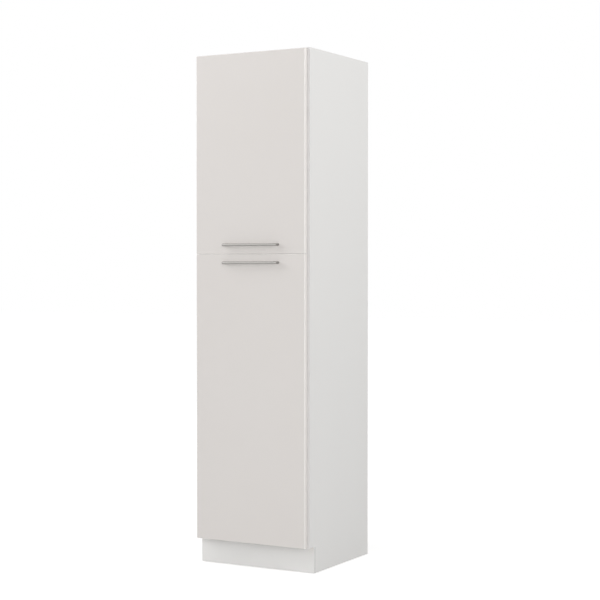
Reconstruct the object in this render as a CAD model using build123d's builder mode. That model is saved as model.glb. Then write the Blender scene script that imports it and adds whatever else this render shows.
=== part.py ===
from build123d import *
import math
import os

# A tall kitchen unit that houses a built-in fridge behind its lower door and a
# cupboard behind its upper door. Millimetres. X runs to the right seen from the
# front, Y to the back and Z up. The origin is on the floor, under the centre of
# the whole unit with its handles.

# Overall size
WIDTH = 600.0
HEIGHT = 2360.0
DEPTH = 600.0
HANDLE_REACH = 35.0

# Boards
BOARD = 18.0
DOOR_BOARD = 22.0
PLINTH_BOARD = 16.0
BACK_BOARD = 3.0
EDGING = 1.0

# Front
DOOR_WIDTH = 576.0
DOOR_ROUNDING = 3.0
DOOR_CLEARANCE = 2.0
DOOR_SPLIT_GAP = 1.0
DOOR_SPLIT_Z = 1441.0
DOOR_TOP_REVEAL = 4.0
PLINTH_HEIGHT = 120.0
PLINTH_SETBACK = 64.0
FLOOR_GLIDE = 2.0

# Inside heights and depths
NICHE_HEIGHT = 1225.0
FIXED_SHELF_Z = 1432.0
SHELF_PIN_Z = 1738.0
RAIL_HEIGHT = 100.0
AIR_SHAFT = 50.0

# Planes that follow from the sizes above
DOOR_FRONT = HANDLE_REACH - (DEPTH + HANDLE_REACH) / 2
BACK = (DEPTH + HANDLE_REACH) / 2
DOOR_BACK = DOOR_FRONT + DOOR_BOARD
CARCASS_FRONT = DOOR_BACK + DOOR_CLEARANCE
PANEL_FRONT = CARCASS_FRONT + EDGING
PLINTH_FRONT = DOOR_FRONT + PLINTH_SETBACK
PLINTH_BACK = PLINTH_FRONT + PLINTH_BOARD
OUTER = WIDTH / 2
INNER = OUTER - BOARD
BASE_Z = PLINTH_HEIGHT
NICHE_FLOOR = BASE_Z + BOARD
TOP_PANEL_Z = HEIGHT - BOARD
CUPBOARD_REAR = BACK - AIR_SHAFT
BACK_PANEL_REAR = CUPBOARD_REAR - BOARD
BACK_PANEL_FRONT = BACK_PANEL_REAR - BACK_BOARD
REAR_RAIL_FRONT = BACK - BOARD
FRONT_RAIL_Z = NICHE_FLOOR + NICHE_HEIGHT
TOP_RAIL_Z = TOP_PANEL_Z - RAIL_HEIGHT
MIDDLE_RAIL_Z = FIXED_SHELF_Z - RAIL_HEIGHT
BOTTOM_RAIL_Z = BASE_Z - RAIL_HEIGHT

# Grooves and play
GROOVE_DEPTH = 7.0
GROOVE_PLAY = 0.15
BACK_PANEL_PLAY = 0.5
PLAY = 0.05
HOLE_END_PLAY = 1.0

# Carcass fittings: cam locks with their bolts, and dowels
CAM_RADIUS = 7.5
CAM_DEPTH = 12.5
CAM_INSET = 34.0
BOLT_RADIUS = 3.0
BOLT_HEAD_RADIUS = 3.7
BOLT_HEAD = 3.0
BOLT_THREAD = 11.0
BOLT_BORE_RADIUS = 4.0
DOWEL_RADIUS = 4.0
DOWEL_IN_SIDE = 11.0
DOWEL_IN_PANEL = 19.0
FITTING_PITCH = 32.0
FITTING_INSET = 60.0
CAM_TUNNEL = 12.0
CAM_TUNNEL_OFFSET = 2.5
CROSS_LENGTH = 8.0
CROSS_WIDTH = 1.6
CROSS_DEPTH = 2.0
CAP_RADIUS = 9.0
CAP_THICKNESS = 1.2

# Shelf pins and their rows of holes
PIN_RADIUS = 2.5
PIN_LENGTH = 9.0
PIN_ROW_INSET = 37.0
PIN_HOLES_EACH_WAY = 3
SHELF_SETBACK = 20.0
SHELF_SIDE_PLAY = 1.0
SHELF_REAR_PLAY = 2.0
LUG_SIZE = 8.0
LUG_RISE = 3.0

# Openings for air and for the wall screws
VENT_HALF_WIDTH = 220.0
PLINTH_VENT_HALF_WIDTH = 250.0
PLINTH_VENT_DEPTH = 14.0
WALL_SCREW_RADIUS = 3.0
WALL_SCREW_X = 200.0

# Handles: bent round bars, a little right of the doors' centre line
BAR_RADIUS = 6.0
BAR_BEND = 9.0
HANDLE_CENTRE_X = 10.8
HANDLE_SPAN = 278.0
HANDLE_Z = {"lower": 1401.6, "upper": 1483.2}
HANDLE_SCREW_RADIUS = 1.95
HANDLE_SCREW_INTO_LEG = 10.0
HANDLE_SCREW_HEAD_RADIUS = 4.0
HANDLE_SCREW_HEAD = 2.2
HANDLE_HOLE_RADIUS = 2.25
HANDLE_RECESS_RADIUS = 5.0
HANDLE_RECESS = 3.0

# Concealed hinges on the right-hand side
HINGE_Z = {
    "lower": [220.0, 220.0 + 1100.0 / 3, 220.0 + 2200.0 / 3, 1320.0],
    "upper": [1543.0, 1899.5, 2256.0],
}
CUP_RADIUS = 17.5
CUP_DEPTH = 11.5
CUP_WALL = 1.0
CUP_EDGE_DISTANCE = 5.0
CUP_X = DOOR_WIDTH / 2 - CUP_EDGE_DISTANCE - CUP_RADIUS
FLANGE = 1.2
FLANGE_LENGTH = 60.0
FLANGE_WIDTH = 17.0
FLANGE_CORNER = 4.0
CUP_SCREW_OFFSET = 9.5
CUP_SCREW_HALF_SPACING = 22.5
RIM_RELIEF = 1.5
RIM_RELIEF_PLAY = 1.0
PIVOT_X = 270.0
PIVOT_Y = DOOR_FRONT + 15.0
ARM_HALF_WIDTH = 7.0
ARM_WALL = 1.5
ARM_TOP_X = 263.0
ARM_FOOT_X = 280.0
ARM_LENGTH = 60.0
ARM_SHOULDER = 10.0
ARM_NOSE = 3.0
ARM_NOSE_TOP = 2.0
ARM_NOSE_FOOT = 0.5
ARM_CHANNEL_START = 12.0
PIVOT_HOLE_RADIUS = 1.6
PIVOT_PIN_RADIUS = 1.5
LINK_LENGTH = 28.5
LINK_WIDTH = 5.0
LINK_PLATE = 2.0
LINK_SIDE_PLAY = 0.3
LINK_CLOSED_ANGLE = 101.0
PLATE_THICKNESS = 1.7
PLATE_SCREW_HALF_SPACING = 16.0
PLATE_SCREW_Y = CARCASS_FRONT + PIN_ROW_INSET
PLATE_WING_HALF_HEIGHT = 24.0
PLATE_WING_HALF_WIDTH = 9.0
PLATE_BODY_HALF_HEIGHT = 9.0
PLATE_BODY_FRONT = 22.0
PLATE_BODY_REAR = 24.0
PLATE_RAIL_X = 268.0
PLATE_RAIL_INSET = 2.0
PLATE_RAIL_PLAY = 0.3
ARM_SCREW_INSETS = [26.0, 52.0]
ARM_SCREW_RADIUS = 2.0
ARM_SCREW_HEAD_RADIUS = 3.5
ARM_SCREW_HEAD = 1.0

# Small screws
WOOD_SCREW_RADIUS = 1.7
WOOD_SCREW_HEAD_RADIUS = 3.5
WOOD_SCREW_HEAD = 2.0
WOOD_SCREW_LENGTH = 12.0
EURO_SCREW_RADIUS = 2.5
EURO_SCREW_HEAD_RADIUS = 4.5
EURO_SCREW_LENGTH = 12.0
EURO_SCREW_HEAD = 1.6

# Door buffers, plinth brackets and floor glides
BUFFER_RADIUS = 3.5
BUFFER_THICKNESS = 1.9
BUFFER_X = -283.5
BUFFER_INSET = 40.0
BRACKET_LEG = 30.0
BRACKET_HEIGHT = 20.0
BRACKET_STEEL = 2.0
BRACKET_SCREW_REACH = 18.0
BRACKET_Z = [30.0, 85.0]
GLIDE_RADIUS = 7.0
GLIDE_NAIL_RADIUS = 1.0
GLIDE_NAIL = 14.0
GLIDE_Y = [PLINTH_BACK + 30.0, BACK - 30.0]

TOP = (Align.CENTER, Align.CENTER, Align.MAX)
BOTTOM = (Align.CENTER, Align.CENTER, Align.MIN)


def block(low, high, mode=Mode.ADD):
    """A square block between two opposite corners."""
    middle = tuple((a + b) / 2 for a, b in zip(low, high))
    size = [b - a for a, b in zip(low, high)]
    with Locations(middle):
        Box(*size, mode=mode)


def facing(x, y, z, towards, along=(0, 0, 1)):
    """A plane at a point whose normal looks along the given direction."""
    return Plane(origin=(x, y, z), x_dir=along, z_dir=towards)


def pegs(planes, radius, depth, rise=0.0, mode=Mode.ADD):
    """Round pegs or holes that start rise above each plane and go depth below it."""
    for plane in planes:
        with Locations(plane.offset(rise)):
            Cylinder(radius, depth + rise, align=TOP, mode=mode)


# Where the boards between the sides meet them: each fitting is a place on the
# side's inner face, and the face of the board that its cam is let into.
def board_joint(z, rear, cam_face):
    """Two cams and two dowels at the end of a level board."""
    front_cam = CARCASS_FRONT + FITTING_INSET
    rear_cam = rear - FITTING_INSET
    cams = [(front_cam, z, cam_face), (rear_cam, z, cam_face)]
    dowels = [(front_cam + FITTING_PITCH, z), (rear_cam - FITTING_PITCH, z)]
    return cams, dowels


def rail_joint(y, low_z, high_z):
    """One cam and one dowel at the end of an upright rail, cams to the rear."""
    middle = (low_z + high_z) / 2
    half = FITTING_PITCH / 2
    return [(y, middle + half, "rear")], [(y, middle - half)]


JOINTS = {
    "bottom_panel": board_joint(BASE_Z + BOARD / 2, BACK, "down"),
    "fixed_shelf": board_joint(FIXED_SHELF_Z + BOARD / 2, CUPBOARD_REAR, "down"),
    "top_panel": board_joint(TOP_PANEL_Z + BOARD / 2, CUPBOARD_REAR, "up"),
    "rear_rail_bottom": rail_joint(BACK - BOARD / 2, BOTTOM_RAIL_Z, BASE_Z),
    "rear_rail_middle": rail_joint(BACK - BOARD / 2, MIDDLE_RAIL_Z, FIXED_SHELF_Z),
    "rear_rail_top": rail_joint(CUPBOARD_REAR - BOARD / 2, TOP_RAIL_Z, TOP_PANEL_Z),
    "appliance_front_rail": rail_joint(
        CARCASS_FRONT + BOARD / 2, FRONT_RAIL_Z, FIXED_SHELF_Z
    ),
}
CAM_NORMALS = {"down": (0, 0, -1), "up": (0, 0, 1), "rear": (0, 1, 0)}


def cam_plane(hand, y, z, face):
    """The board's surface over a cam, with its X axis towards the side panel."""
    normal = Vector(*CAM_NORMALS[face])
    middle = Vector(hand * (INNER - CAM_INSET), y, z)
    return Plane(origin=middle + normal * (BOARD / 2), x_dir=(hand, 0, 0), z_dir=normal)


def all_cams():
    """Every cam, as hand, place and face."""
    return [
        (hand, *cam) for hand in (-1, 1) for cams, _ in JOINTS.values() for cam in cams
    ]


def fitting_holes(name):
    """Cuts a board's own holes for its cams, bolts and dowels."""
    cams, dowels = JOINTS[name]
    for hand in (-1, 1):
        pockets = [cam_plane(hand, *cam) for cam in cams]
        pegs(pockets, CAM_RADIUS + PLAY, CAM_DEPTH, mode=Mode.SUBTRACT)
        ends = [facing(hand * INNER, y, z, (hand, 0, 0)) for y, z, _ in cams]
        pegs(ends, BOLT_BORE_RADIUS, CAM_INSET + BOLT_HEAD, mode=Mode.SUBTRACT)
        ends = [facing(hand * INNER, y, z, (hand, 0, 0)) for y, z in dowels]
        pegs(ends, DOWEL_RADIUS + PLAY, DOWEL_IN_PANEL + HOLE_END_PLAY, mode=Mode.SUBTRACT)


def pin_rows():
    """Height and depth of the holes for the shelf pins, on either side."""
    steps = range(-PIN_HOLES_EACH_WAY, PIN_HOLES_EACH_WAY + 1)
    heights = [SHELF_PIN_Z + FITTING_PITCH * step for step in steps]
    rows = [CARCASS_FRONT + PIN_ROW_INSET, BACK_PANEL_FRONT - PIN_ROW_INSET]
    return [(y, z) for y in rows for z in heights]


def hinge_plate_screws():
    """Height and depth of the screws in the right-hand side."""
    heights = HINGE_Z["lower"] + HINGE_Z["upper"]
    spacing = (-PLATE_SCREW_HALF_SPACING, PLATE_SCREW_HALF_SPACING)
    return [(PLATE_SCREW_Y, z + step) for z in heights for step in spacing]


def bracket_screw_planes(hand):
    """Planes on the plinth brackets' legs, facing into the room behind them."""
    planes = []
    for z in BRACKET_Z:
        middle = z + BRACKET_HEIGHT / 2
        on_plinth = (
            hand * (INNER - BRACKET_SCREW_REACH),
            PLINTH_BACK + BRACKET_STEEL,
            middle,
        )
        on_side = (
            hand * (INNER - BRACKET_STEEL),
            PLINTH_BACK + BRACKET_SCREW_REACH,
            middle,
        )
        planes.append(facing(*on_plinth, (0, 1, 0)))
        planes.append(facing(*on_side, (-hand, 0, 0)))
    return planes


# Side panels run to the floor and are notched for the plinth
def side_panel(hand):
    """One side board with its notch, groove and drilled holes."""
    inner_face = hand * INNER
    inward = (-hand, 0, 0)
    with BuildPart() as panel:
        with BuildSketch(Plane.YZ.offset(inner_face)):
            with BuildLine():
                Polyline(
                    (PLINTH_BACK, FLOOR_GLIDE),
                    (BACK, FLOOR_GLIDE),
                    (BACK, HEIGHT),
                    (PANEL_FRONT, HEIGHT),
                    (PANEL_FRONT, PLINTH_HEIGHT),
                    (PLINTH_BACK, PLINTH_HEIGHT),
                    close=True,
                )
            make_face()
        extrude(amount=hand * BOARD)
        depths = sorted([inner_face, inner_face + hand * (GROOVE_DEPTH + GROOVE_PLAY)])
        block(
            (depths[0], BACK_PANEL_FRONT - GROOVE_PLAY, FIXED_SHELF_Z + BOARD - GROOVE_DEPTH),
            (depths[1], BACK_PANEL_REAR + GROOVE_PLAY, HEIGHT),
            Mode.SUBTRACT,
        )
        for cams, dowels in JOINTS.values():
            planes = [facing(inner_face, y, z, inward) for y, z, _ in cams]
            depth = BOLT_THREAD + HOLE_END_PLAY
            pegs(planes, BOLT_RADIUS + PLAY, depth, mode=Mode.SUBTRACT)
            planes = [facing(inner_face, y, z, inward) for y, z in dowels]
            depth = DOWEL_IN_SIDE + HOLE_END_PLAY
            pegs(planes, DOWEL_RADIUS + PLAY, depth, mode=Mode.SUBTRACT)
        planes = [facing(inner_face, y, z, inward) for y, z in pin_rows()]
        depth = PIN_LENGTH + HOLE_END_PLAY
        pegs(planes, PIN_RADIUS + PLAY, depth, mode=Mode.SUBTRACT)
        if hand > 0:
            planes = [facing(inner_face, y, z, inward) for y, z in hinge_plate_screws()]
            pegs(planes, EURO_SCREW_RADIUS + PLAY, EURO_SCREW_LENGTH, mode=Mode.SUBTRACT)
        on_side = [p for p in bracket_screw_planes(hand) if abs(p.z_dir.X) > 0.5]
        depth = WOOD_SCREW_LENGTH + HOLE_END_PLAY
        pegs(on_side, WOOD_SCREW_RADIUS + PLAY, depth, mode=Mode.SUBTRACT)
        middle_x = hand * (INNER + BOARD / 2)
        planes = [facing(middle_x, y, FLOOR_GLIDE, (0, 0, -1), (1, 0, 0)) for y in GLIDE_Y]
        depth = GLIDE_NAIL + HOLE_END_PLAY
        pegs(planes, GLIDE_NAIL_RADIUS + PLAY, depth, mode=Mode.SUBTRACT)
    return panel


side_panel_left = side_panel(-1)
side_panel_right = side_panel(1)

# Boards between the sides
with BuildPart() as bottom_panel:
    block((-INNER, PANEL_FRONT, BASE_Z), (INNER, BACK, NICHE_FLOOR))
    block(
        (-VENT_HALF_WIDTH, CUPBOARD_REAR, BASE_Z),
        (VENT_HALF_WIDTH, BACK, NICHE_FLOOR),
        Mode.SUBTRACT,
    )
    fitting_holes("bottom_panel")

with BuildPart() as fixed_shelf:
    shelf_top = FIXED_SHELF_Z + BOARD
    block((-INNER, PANEL_FRONT, FIXED_SHELF_Z), (INNER, CUPBOARD_REAR, shelf_top))
    block(
        (-INNER, BACK_PANEL_FRONT - GROOVE_PLAY, shelf_top - GROOVE_DEPTH),
        (INNER, BACK_PANEL_REAR + GROOVE_PLAY, shelf_top),
        Mode.SUBTRACT,
    )
    fitting_holes("fixed_shelf")

with BuildPart() as top_panel:
    block((-INNER, PANEL_FRONT, TOP_PANEL_Z), (INNER, CUPBOARD_REAR, HEIGHT))
    block(
        (-INNER, BACK_PANEL_FRONT - GROOVE_PLAY, TOP_PANEL_Z),
        (INNER, BACK_PANEL_REAR + GROOVE_PLAY, TOP_PANEL_Z + GROOVE_DEPTH),
        Mode.SUBTRACT,
    )
    fitting_holes("top_panel")

wall_screws = [
    facing(x, CUPBOARD_REAR, TOP_RAIL_Z + RAIL_HEIGHT / 2, (0, 1, 0))
    for x in (-WALL_SCREW_X, WALL_SCREW_X)
]

with BuildPart() as upper_back_panel:
    in_groove = GROOVE_DEPTH - BACK_PANEL_PLAY
    block(
        (-INNER - in_groove, BACK_PANEL_FRONT, FIXED_SHELF_Z + BOARD - in_groove),
        (INNER + in_groove, BACK_PANEL_REAR, TOP_PANEL_Z + in_groove),
    )
    pegs(wall_screws, WALL_SCREW_RADIUS, BOARD + BACK_BOARD, mode=Mode.SUBTRACT)

with BuildPart() as rear_rail_top:
    block((-INNER, BACK_PANEL_REAR, TOP_RAIL_Z), (INNER, CUPBOARD_REAR, TOP_PANEL_Z))
    pegs(wall_screws, WALL_SCREW_RADIUS, BOARD, mode=Mode.SUBTRACT)
    fitting_holes("rear_rail_top")

with BuildPart() as rear_rail_middle:
    block((-INNER, REAR_RAIL_FRONT, MIDDLE_RAIL_Z), (INNER, BACK, FIXED_SHELF_Z))
    fitting_holes("rear_rail_middle")

with BuildPart() as rear_rail_bottom:
    block((-INNER, REAR_RAIL_FRONT, BOTTOM_RAIL_Z), (INNER, BACK, BASE_Z))
    fitting_holes("rear_rail_bottom")

with BuildPart() as appliance_front_rail:
    block(
        (-INNER, CARCASS_FRONT, FRONT_RAIL_Z),
        (INNER, CARCASS_FRONT + BOARD, FIXED_SHELF_Z),
    )
    fitting_holes("appliance_front_rail")

# The loose shelf lies on four pins
SHELF_Z = SHELF_PIN_Z + LUG_RISE
with BuildPart() as adjustable_shelf:
    block(
        (-INNER + SHELF_SIDE_PLAY, CARCASS_FRONT + SHELF_SETBACK + EDGING, SHELF_Z),
        (INNER - SHELF_SIDE_PLAY, BACK_PANEL_FRONT - SHELF_REAR_PLAY, SHELF_Z + BOARD),
    )

with BuildPart() as shelf_pins:
    for hand in (-1, 1):
        for y in (CARCASS_FRONT + PIN_ROW_INSET, BACK_PANEL_FRONT - PIN_ROW_INSET):
            pegs([facing(hand * INNER, y, SHELF_PIN_Z, (-hand, 0, 0))], PIN_RADIUS, PIN_LENGTH)
            reach = sorted([hand * INNER, hand * (INNER - LUG_SIZE)])
            block(
                (reach[0], y - LUG_SIZE / 2, SHELF_PIN_Z - LUG_RISE),
                (reach[1], y + LUG_SIZE / 2, SHELF_PIN_Z + LUG_RISE),
            )

# Thin edging glued to the boards' front edges
with BuildPart() as front_edging:
    for hand in (-1, 1):
        across = sorted([hand * INNER, hand * OUTER])
        block(
            (across[0], CARCASS_FRONT, PLINTH_HEIGHT), (across[1], PANEL_FRONT, HEIGHT)
        )
    for low_z in (BASE_Z, FIXED_SHELF_Z, TOP_PANEL_Z):
        block(
            (-INNER + PLAY, CARCASS_FRONT, low_z),
            (INNER - PLAY, PANEL_FRONT, low_z + BOARD),
        )
    shelf_front = CARCASS_FRONT + SHELF_SETBACK
    block(
        (-INNER + SHELF_SIDE_PLAY, shelf_front, SHELF_Z),
        (INNER - SHELF_SIDE_PLAY, shelf_front + EDGING, SHELF_Z + BOARD),
    )

# Plinth board across both sides, with its fixing brackets and screws
with BuildPart() as plinth_board:
    block((-OUTER, PLINTH_FRONT, FLOOR_GLIDE), (OUTER, PLINTH_BACK, PLINTH_HEIGHT))
    block(
        (-PLINTH_VENT_HALF_WIDTH, PLINTH_FRONT, PLINTH_HEIGHT - PLINTH_VENT_DEPTH),
        (PLINTH_VENT_HALF_WIDTH, PLINTH_BACK, PLINTH_HEIGHT),
        Mode.SUBTRACT,
    )
    for hand in (-1, 1):
        on_plinth = [p for p in bracket_screw_planes(hand) if abs(p.z_dir.Y) > 0.5]
        depth = WOOD_SCREW_LENGTH + HOLE_END_PLAY
        pegs(on_plinth, WOOD_SCREW_RADIUS + PLAY, depth, mode=Mode.SUBTRACT)

with BuildPart() as plinth_brackets:
    for hand in (-1, 1):
        for z in BRACKET_Z:
            leg = sorted([hand * INNER, hand * (INNER - BRACKET_LEG)])
            web = sorted([hand * INNER, hand * (INNER - BRACKET_STEEL)])
            high_z = z + BRACKET_HEIGHT
            block((leg[0], PLINTH_BACK, z), (leg[1], PLINTH_BACK + BRACKET_STEEL, high_z))
            block((web[0], PLINTH_BACK, z), (web[1], PLINTH_BACK + BRACKET_LEG, high_z))
        pegs(
            bracket_screw_planes(hand),
            WOOD_SCREW_RADIUS + PLAY,
            BRACKET_STEEL,
            mode=Mode.SUBTRACT,
        )

with BuildPart() as plinth_bracket_screws:
    for hand in (-1, 1):
        planes = bracket_screw_planes(hand)
        pegs(planes, WOOD_SCREW_RADIUS, WOOD_SCREW_LENGTH)
        for plane in planes:
            with Locations(plane):
                Cylinder(WOOD_SCREW_HEAD_RADIUS, WOOD_SCREW_HEAD, align=BOTTOM)

# Carcass fittings
with BuildPart() as cam_locks:
    for cam in all_cams():
        face = cam_plane(*cam)
        pegs([face], CAM_RADIUS, CAM_DEPTH)
        middle = (CAM_TUNNEL_OFFSET, 0, -BOARD / 2)
        with Locations(face.location * Location(middle, (0, 90, 0))):
            Cylinder(BOLT_BORE_RADIUS + PLAY, CAM_TUNNEL, mode=Mode.SUBTRACT)
        with Locations(face):
            Box(CROSS_LENGTH, CROSS_WIDTH, CROSS_DEPTH, align=TOP, mode=Mode.SUBTRACT)
            Box(CROSS_WIDTH, CROSS_LENGTH, CROSS_DEPTH, align=TOP, mode=Mode.SUBTRACT)

with BuildPart() as cam_bolts:
    for hand, y, z, _ in all_cams():
        inner_end = facing(hand * INNER, y, z, (-hand, 0, 0))
        head_seat = CAM_INSET - BOLT_HEAD / 2
        pegs([inner_end], BOLT_RADIUS, BOLT_THREAD, rise=head_seat)
        with Locations(inner_end.offset(head_seat)):
            Cylinder(BOLT_HEAD_RADIUS, BOLT_HEAD, align=BOTTOM)

with BuildPart() as dowels:
    for hand in (-1, 1):
        for _, places in JOINTS.values():
            planes = [facing(hand * INNER, y, z, (-hand, 0, 0)) for y, z in places]
            pegs(planes, DOWEL_RADIUS, DOWEL_IN_SIDE, rise=DOWEL_IN_PANEL)

with BuildPart() as cam_caps:
    for hand in (-1, 1):
        for cam in JOINTS["fixed_shelf"][0]:
            with Locations(cam_plane(hand, *cam)):
                Cylinder(CAP_RADIUS, CAP_THICKNESS, align=BOTTOM)

with BuildPart() as floor_glides:
    for hand in (-1, 1):
        for y in GLIDE_Y:
            foot = facing(hand * (INNER + BOARD / 2), y, FLOOR_GLIDE, (0, 0, -1), (1, 0, 0))
            pegs([foot], GLIDE_NAIL_RADIUS, GLIDE_NAIL)
            with Locations(foot):
                Cylinder(GLIDE_RADIUS, FLOOR_GLIDE, align=BOTTOM)


# Doors
DOOR_SPAN = {
    "lower": (PLINTH_HEIGHT, DOOR_SPLIT_Z - DOOR_SPLIT_GAP / 2),
    "upper": (DOOR_SPLIT_Z + DOOR_SPLIT_GAP / 2, HEIGHT - DOOR_TOP_REVEAL),
}
HANDLE_ENDS = [HANDLE_CENTRE_X - HANDLE_SPAN / 2, HANDLE_CENTRE_X + HANDLE_SPAN / 2]


def cup_planes(which):
    """Planes on a door's back at the centres of its hinge cups."""
    return [facing(CUP_X, DOOR_BACK, z, (0, 1, 0)) for z in HINGE_Z[which]]


def cup_screw_planes(which):
    """Planes on a door's back under the screws of its hinge cups."""
    x = CUP_X - CUP_SCREW_OFFSET
    steps = (-CUP_SCREW_HALF_SPACING, CUP_SCREW_HALF_SPACING)
    return [facing(x, DOOR_BACK, z + s, (0, 1, 0)) for z in HINGE_Z[which] for s in steps]


def handle_screw_planes(which):
    """Planes on a door's back behind the legs of its handle."""
    return [facing(x, DOOR_BACK, HANDLE_Z[which], (0, 1, 0)) for x in HANDLE_ENDS]


def door_panel(which):
    """A slab door with rounded front edges, hinge bores and handle holes."""
    low_z, high_z = DOOR_SPAN[which]
    half = DOOR_WIDTH / 2
    with BuildPart() as door:
        block((-half, DOOR_FRONT, low_z), (half, DOOR_BACK, high_z))
        fillet(door.faces().sort_by(Axis.Y)[0].edges(), DOOR_ROUNDING)
        pegs(cup_planes(which), CUP_RADIUS + PLAY, CUP_DEPTH + PLAY, mode=Mode.SUBTRACT)
        pegs(
            cup_screw_planes(which),
            WOOD_SCREW_RADIUS + PLAY,
            WOOD_SCREW_LENGTH + HOLE_END_PLAY,
            mode=Mode.SUBTRACT,
        )
        behind = handle_screw_planes(which)
        pegs(behind, HANDLE_HOLE_RADIUS, DOOR_BOARD, mode=Mode.SUBTRACT)
        pegs(behind, HANDLE_RECESS_RADIUS, HANDLE_RECESS, mode=Mode.SUBTRACT)
    return door


def handle(which):
    """A round bar bent at both ends to stand off the door."""
    z = HANDLE_Z[which]
    bar_y = DOOR_FRONT - HANDLE_REACH + BAR_RADIUS
    left, right = HANDLE_ENDS
    with BuildPart() as bar:
        with BuildLine() as route:
            FilletPolyline(
                (left, DOOR_FRONT, z),
                (left, bar_y, z),
                (right, bar_y, z),
                (right, DOOR_FRONT, z),
                radius=BAR_BEND,
            )
        with BuildSketch(facing(left, DOOR_FRONT, z, (0, -1, 0))):
            Circle(BAR_RADIUS)
        sweep(path=route.wires()[0])
        feet = [facing(x, DOOR_FRONT, z, (0, 1, 0)) for x in HANDLE_ENDS]
        depth = HANDLE_SCREW_INTO_LEG + HOLE_END_PLAY
        pegs(feet, HANDLE_SCREW_RADIUS + PLAY, depth, mode=Mode.SUBTRACT)
    return bar


def handle_screws(which):
    """The screws that hold a handle from behind its door."""
    with BuildPart() as screws:
        for plane in handle_screw_planes(which):
            seat = plane.offset(-HANDLE_RECESS)
            length = DOOR_BOARD - HANDLE_RECESS + HANDLE_SCREW_INTO_LEG
            pegs([seat], HANDLE_SCREW_RADIUS, length)
            with Locations(seat):
                Cylinder(HANDLE_SCREW_HEAD_RADIUS, HANDLE_SCREW_HEAD, align=BOTTOM)
    return screws


def hinge_cups(which):
    """Steel cups let into a door, each with its flange and a low rim by the arm."""
    past_links = ARM_HALF_WIDTH + LINK_SIDE_PLAY + LINK_PLATE + RIM_RELIEF_PLAY
    with BuildPart() as cups:
        for plane in cup_planes(which):
            pegs([plane], CUP_RADIUS, CUP_DEPTH)
            with BuildSketch(plane):
                Circle(CUP_RADIUS - CUP_WALL / 2)
                with Locations((0, -CUP_SCREW_OFFSET)):
                    RectangleRounded(FLANGE_LENGTH, FLANGE_WIDTH, FLANGE_CORNER)
            extrude(amount=FLANGE)
            inside = CUP_DEPTH - CUP_WALL
            pegs([plane], CUP_RADIUS - CUP_WALL, inside, rise=FLANGE, mode=Mode.SUBTRACT)
            z = plane.origin.Z
            block(
                (CUP_X, DOOR_BACK - RIM_RELIEF, z - past_links),
                (CUP_X + CUP_RADIUS, DOOR_BACK + FLANGE, z + past_links),
                Mode.SUBTRACT,
            )
        on_flange = [plane.offset(FLANGE) for plane in cup_screw_planes(which)]
        pegs(on_flange, WOOD_SCREW_RADIUS + PLAY, FLANGE, mode=Mode.SUBTRACT)
    return cups


def cup_screws(which):
    """The wood screws through the flanges of a door's hinge cups."""
    with BuildPart() as screws:
        for plane in cup_screw_planes(which):
            pegs([plane], WOOD_SCREW_RADIUS, WOOD_SCREW_LENGTH, rise=FLANGE)
            with Locations(plane.offset(FLANGE)):
                Cylinder(WOOD_SCREW_HEAD_RADIUS, WOOD_SCREW_HEAD, align=BOTTOM)
    return screws


def door_buffers(which):
    """Soft dots on a door's back that meet the left side's edge."""
    low_z, high_z = DOOR_SPAN[which]
    with BuildPart() as buffers:
        for z in (low_z + BUFFER_INSET, high_z - BUFFER_INSET):
            with Locations(facing(BUFFER_X, DOOR_BACK, z, (0, 1, 0))):
                Cylinder(BUFFER_RADIUS, BUFFER_THICKNESS, align=BOTTOM)
    return buffers


# Hinge parts on the carcass side
def hinge_plates(which):
    """Mounting plates on the right side's inner face, each with a raised rail."""
    skin = INNER - PLATE_THICKNESS
    y = PLATE_SCREW_Y
    front, rear = y - PLATE_BODY_FRONT, y + PLATE_BODY_REAR
    wing = (PLATE_WING_HALF_WIDTH, PLATE_WING_HALF_HEIGHT)
    body = PLATE_BODY_HALF_HEIGHT
    rail = ARM_HALF_WIDTH - ARM_WALL - PLATE_RAIL_PLAY
    with BuildPart() as plates:
        for z in HINGE_Z[which]:
            block((skin, y - wing[0], z - wing[1]), (INNER, y + wing[0], z + wing[1]))
            block((skin, front, z - body), (INNER, rear, z + body))
            block(
                (PLATE_RAIL_X, front + PLATE_RAIL_INSET, z - rail),
                (skin, rear - PLATE_RAIL_INSET, z + rail),
            )
        on_face = [
            facing(skin, PLATE_SCREW_Y, z + step, (-1, 0, 0))
            for z in HINGE_Z[which]
            for step in (-PLATE_SCREW_HALF_SPACING, PLATE_SCREW_HALF_SPACING)
        ]
        pegs(on_face, EURO_SCREW_RADIUS + PLAY, PLATE_THICKNESS, mode=Mode.SUBTRACT)
    return plates


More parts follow.
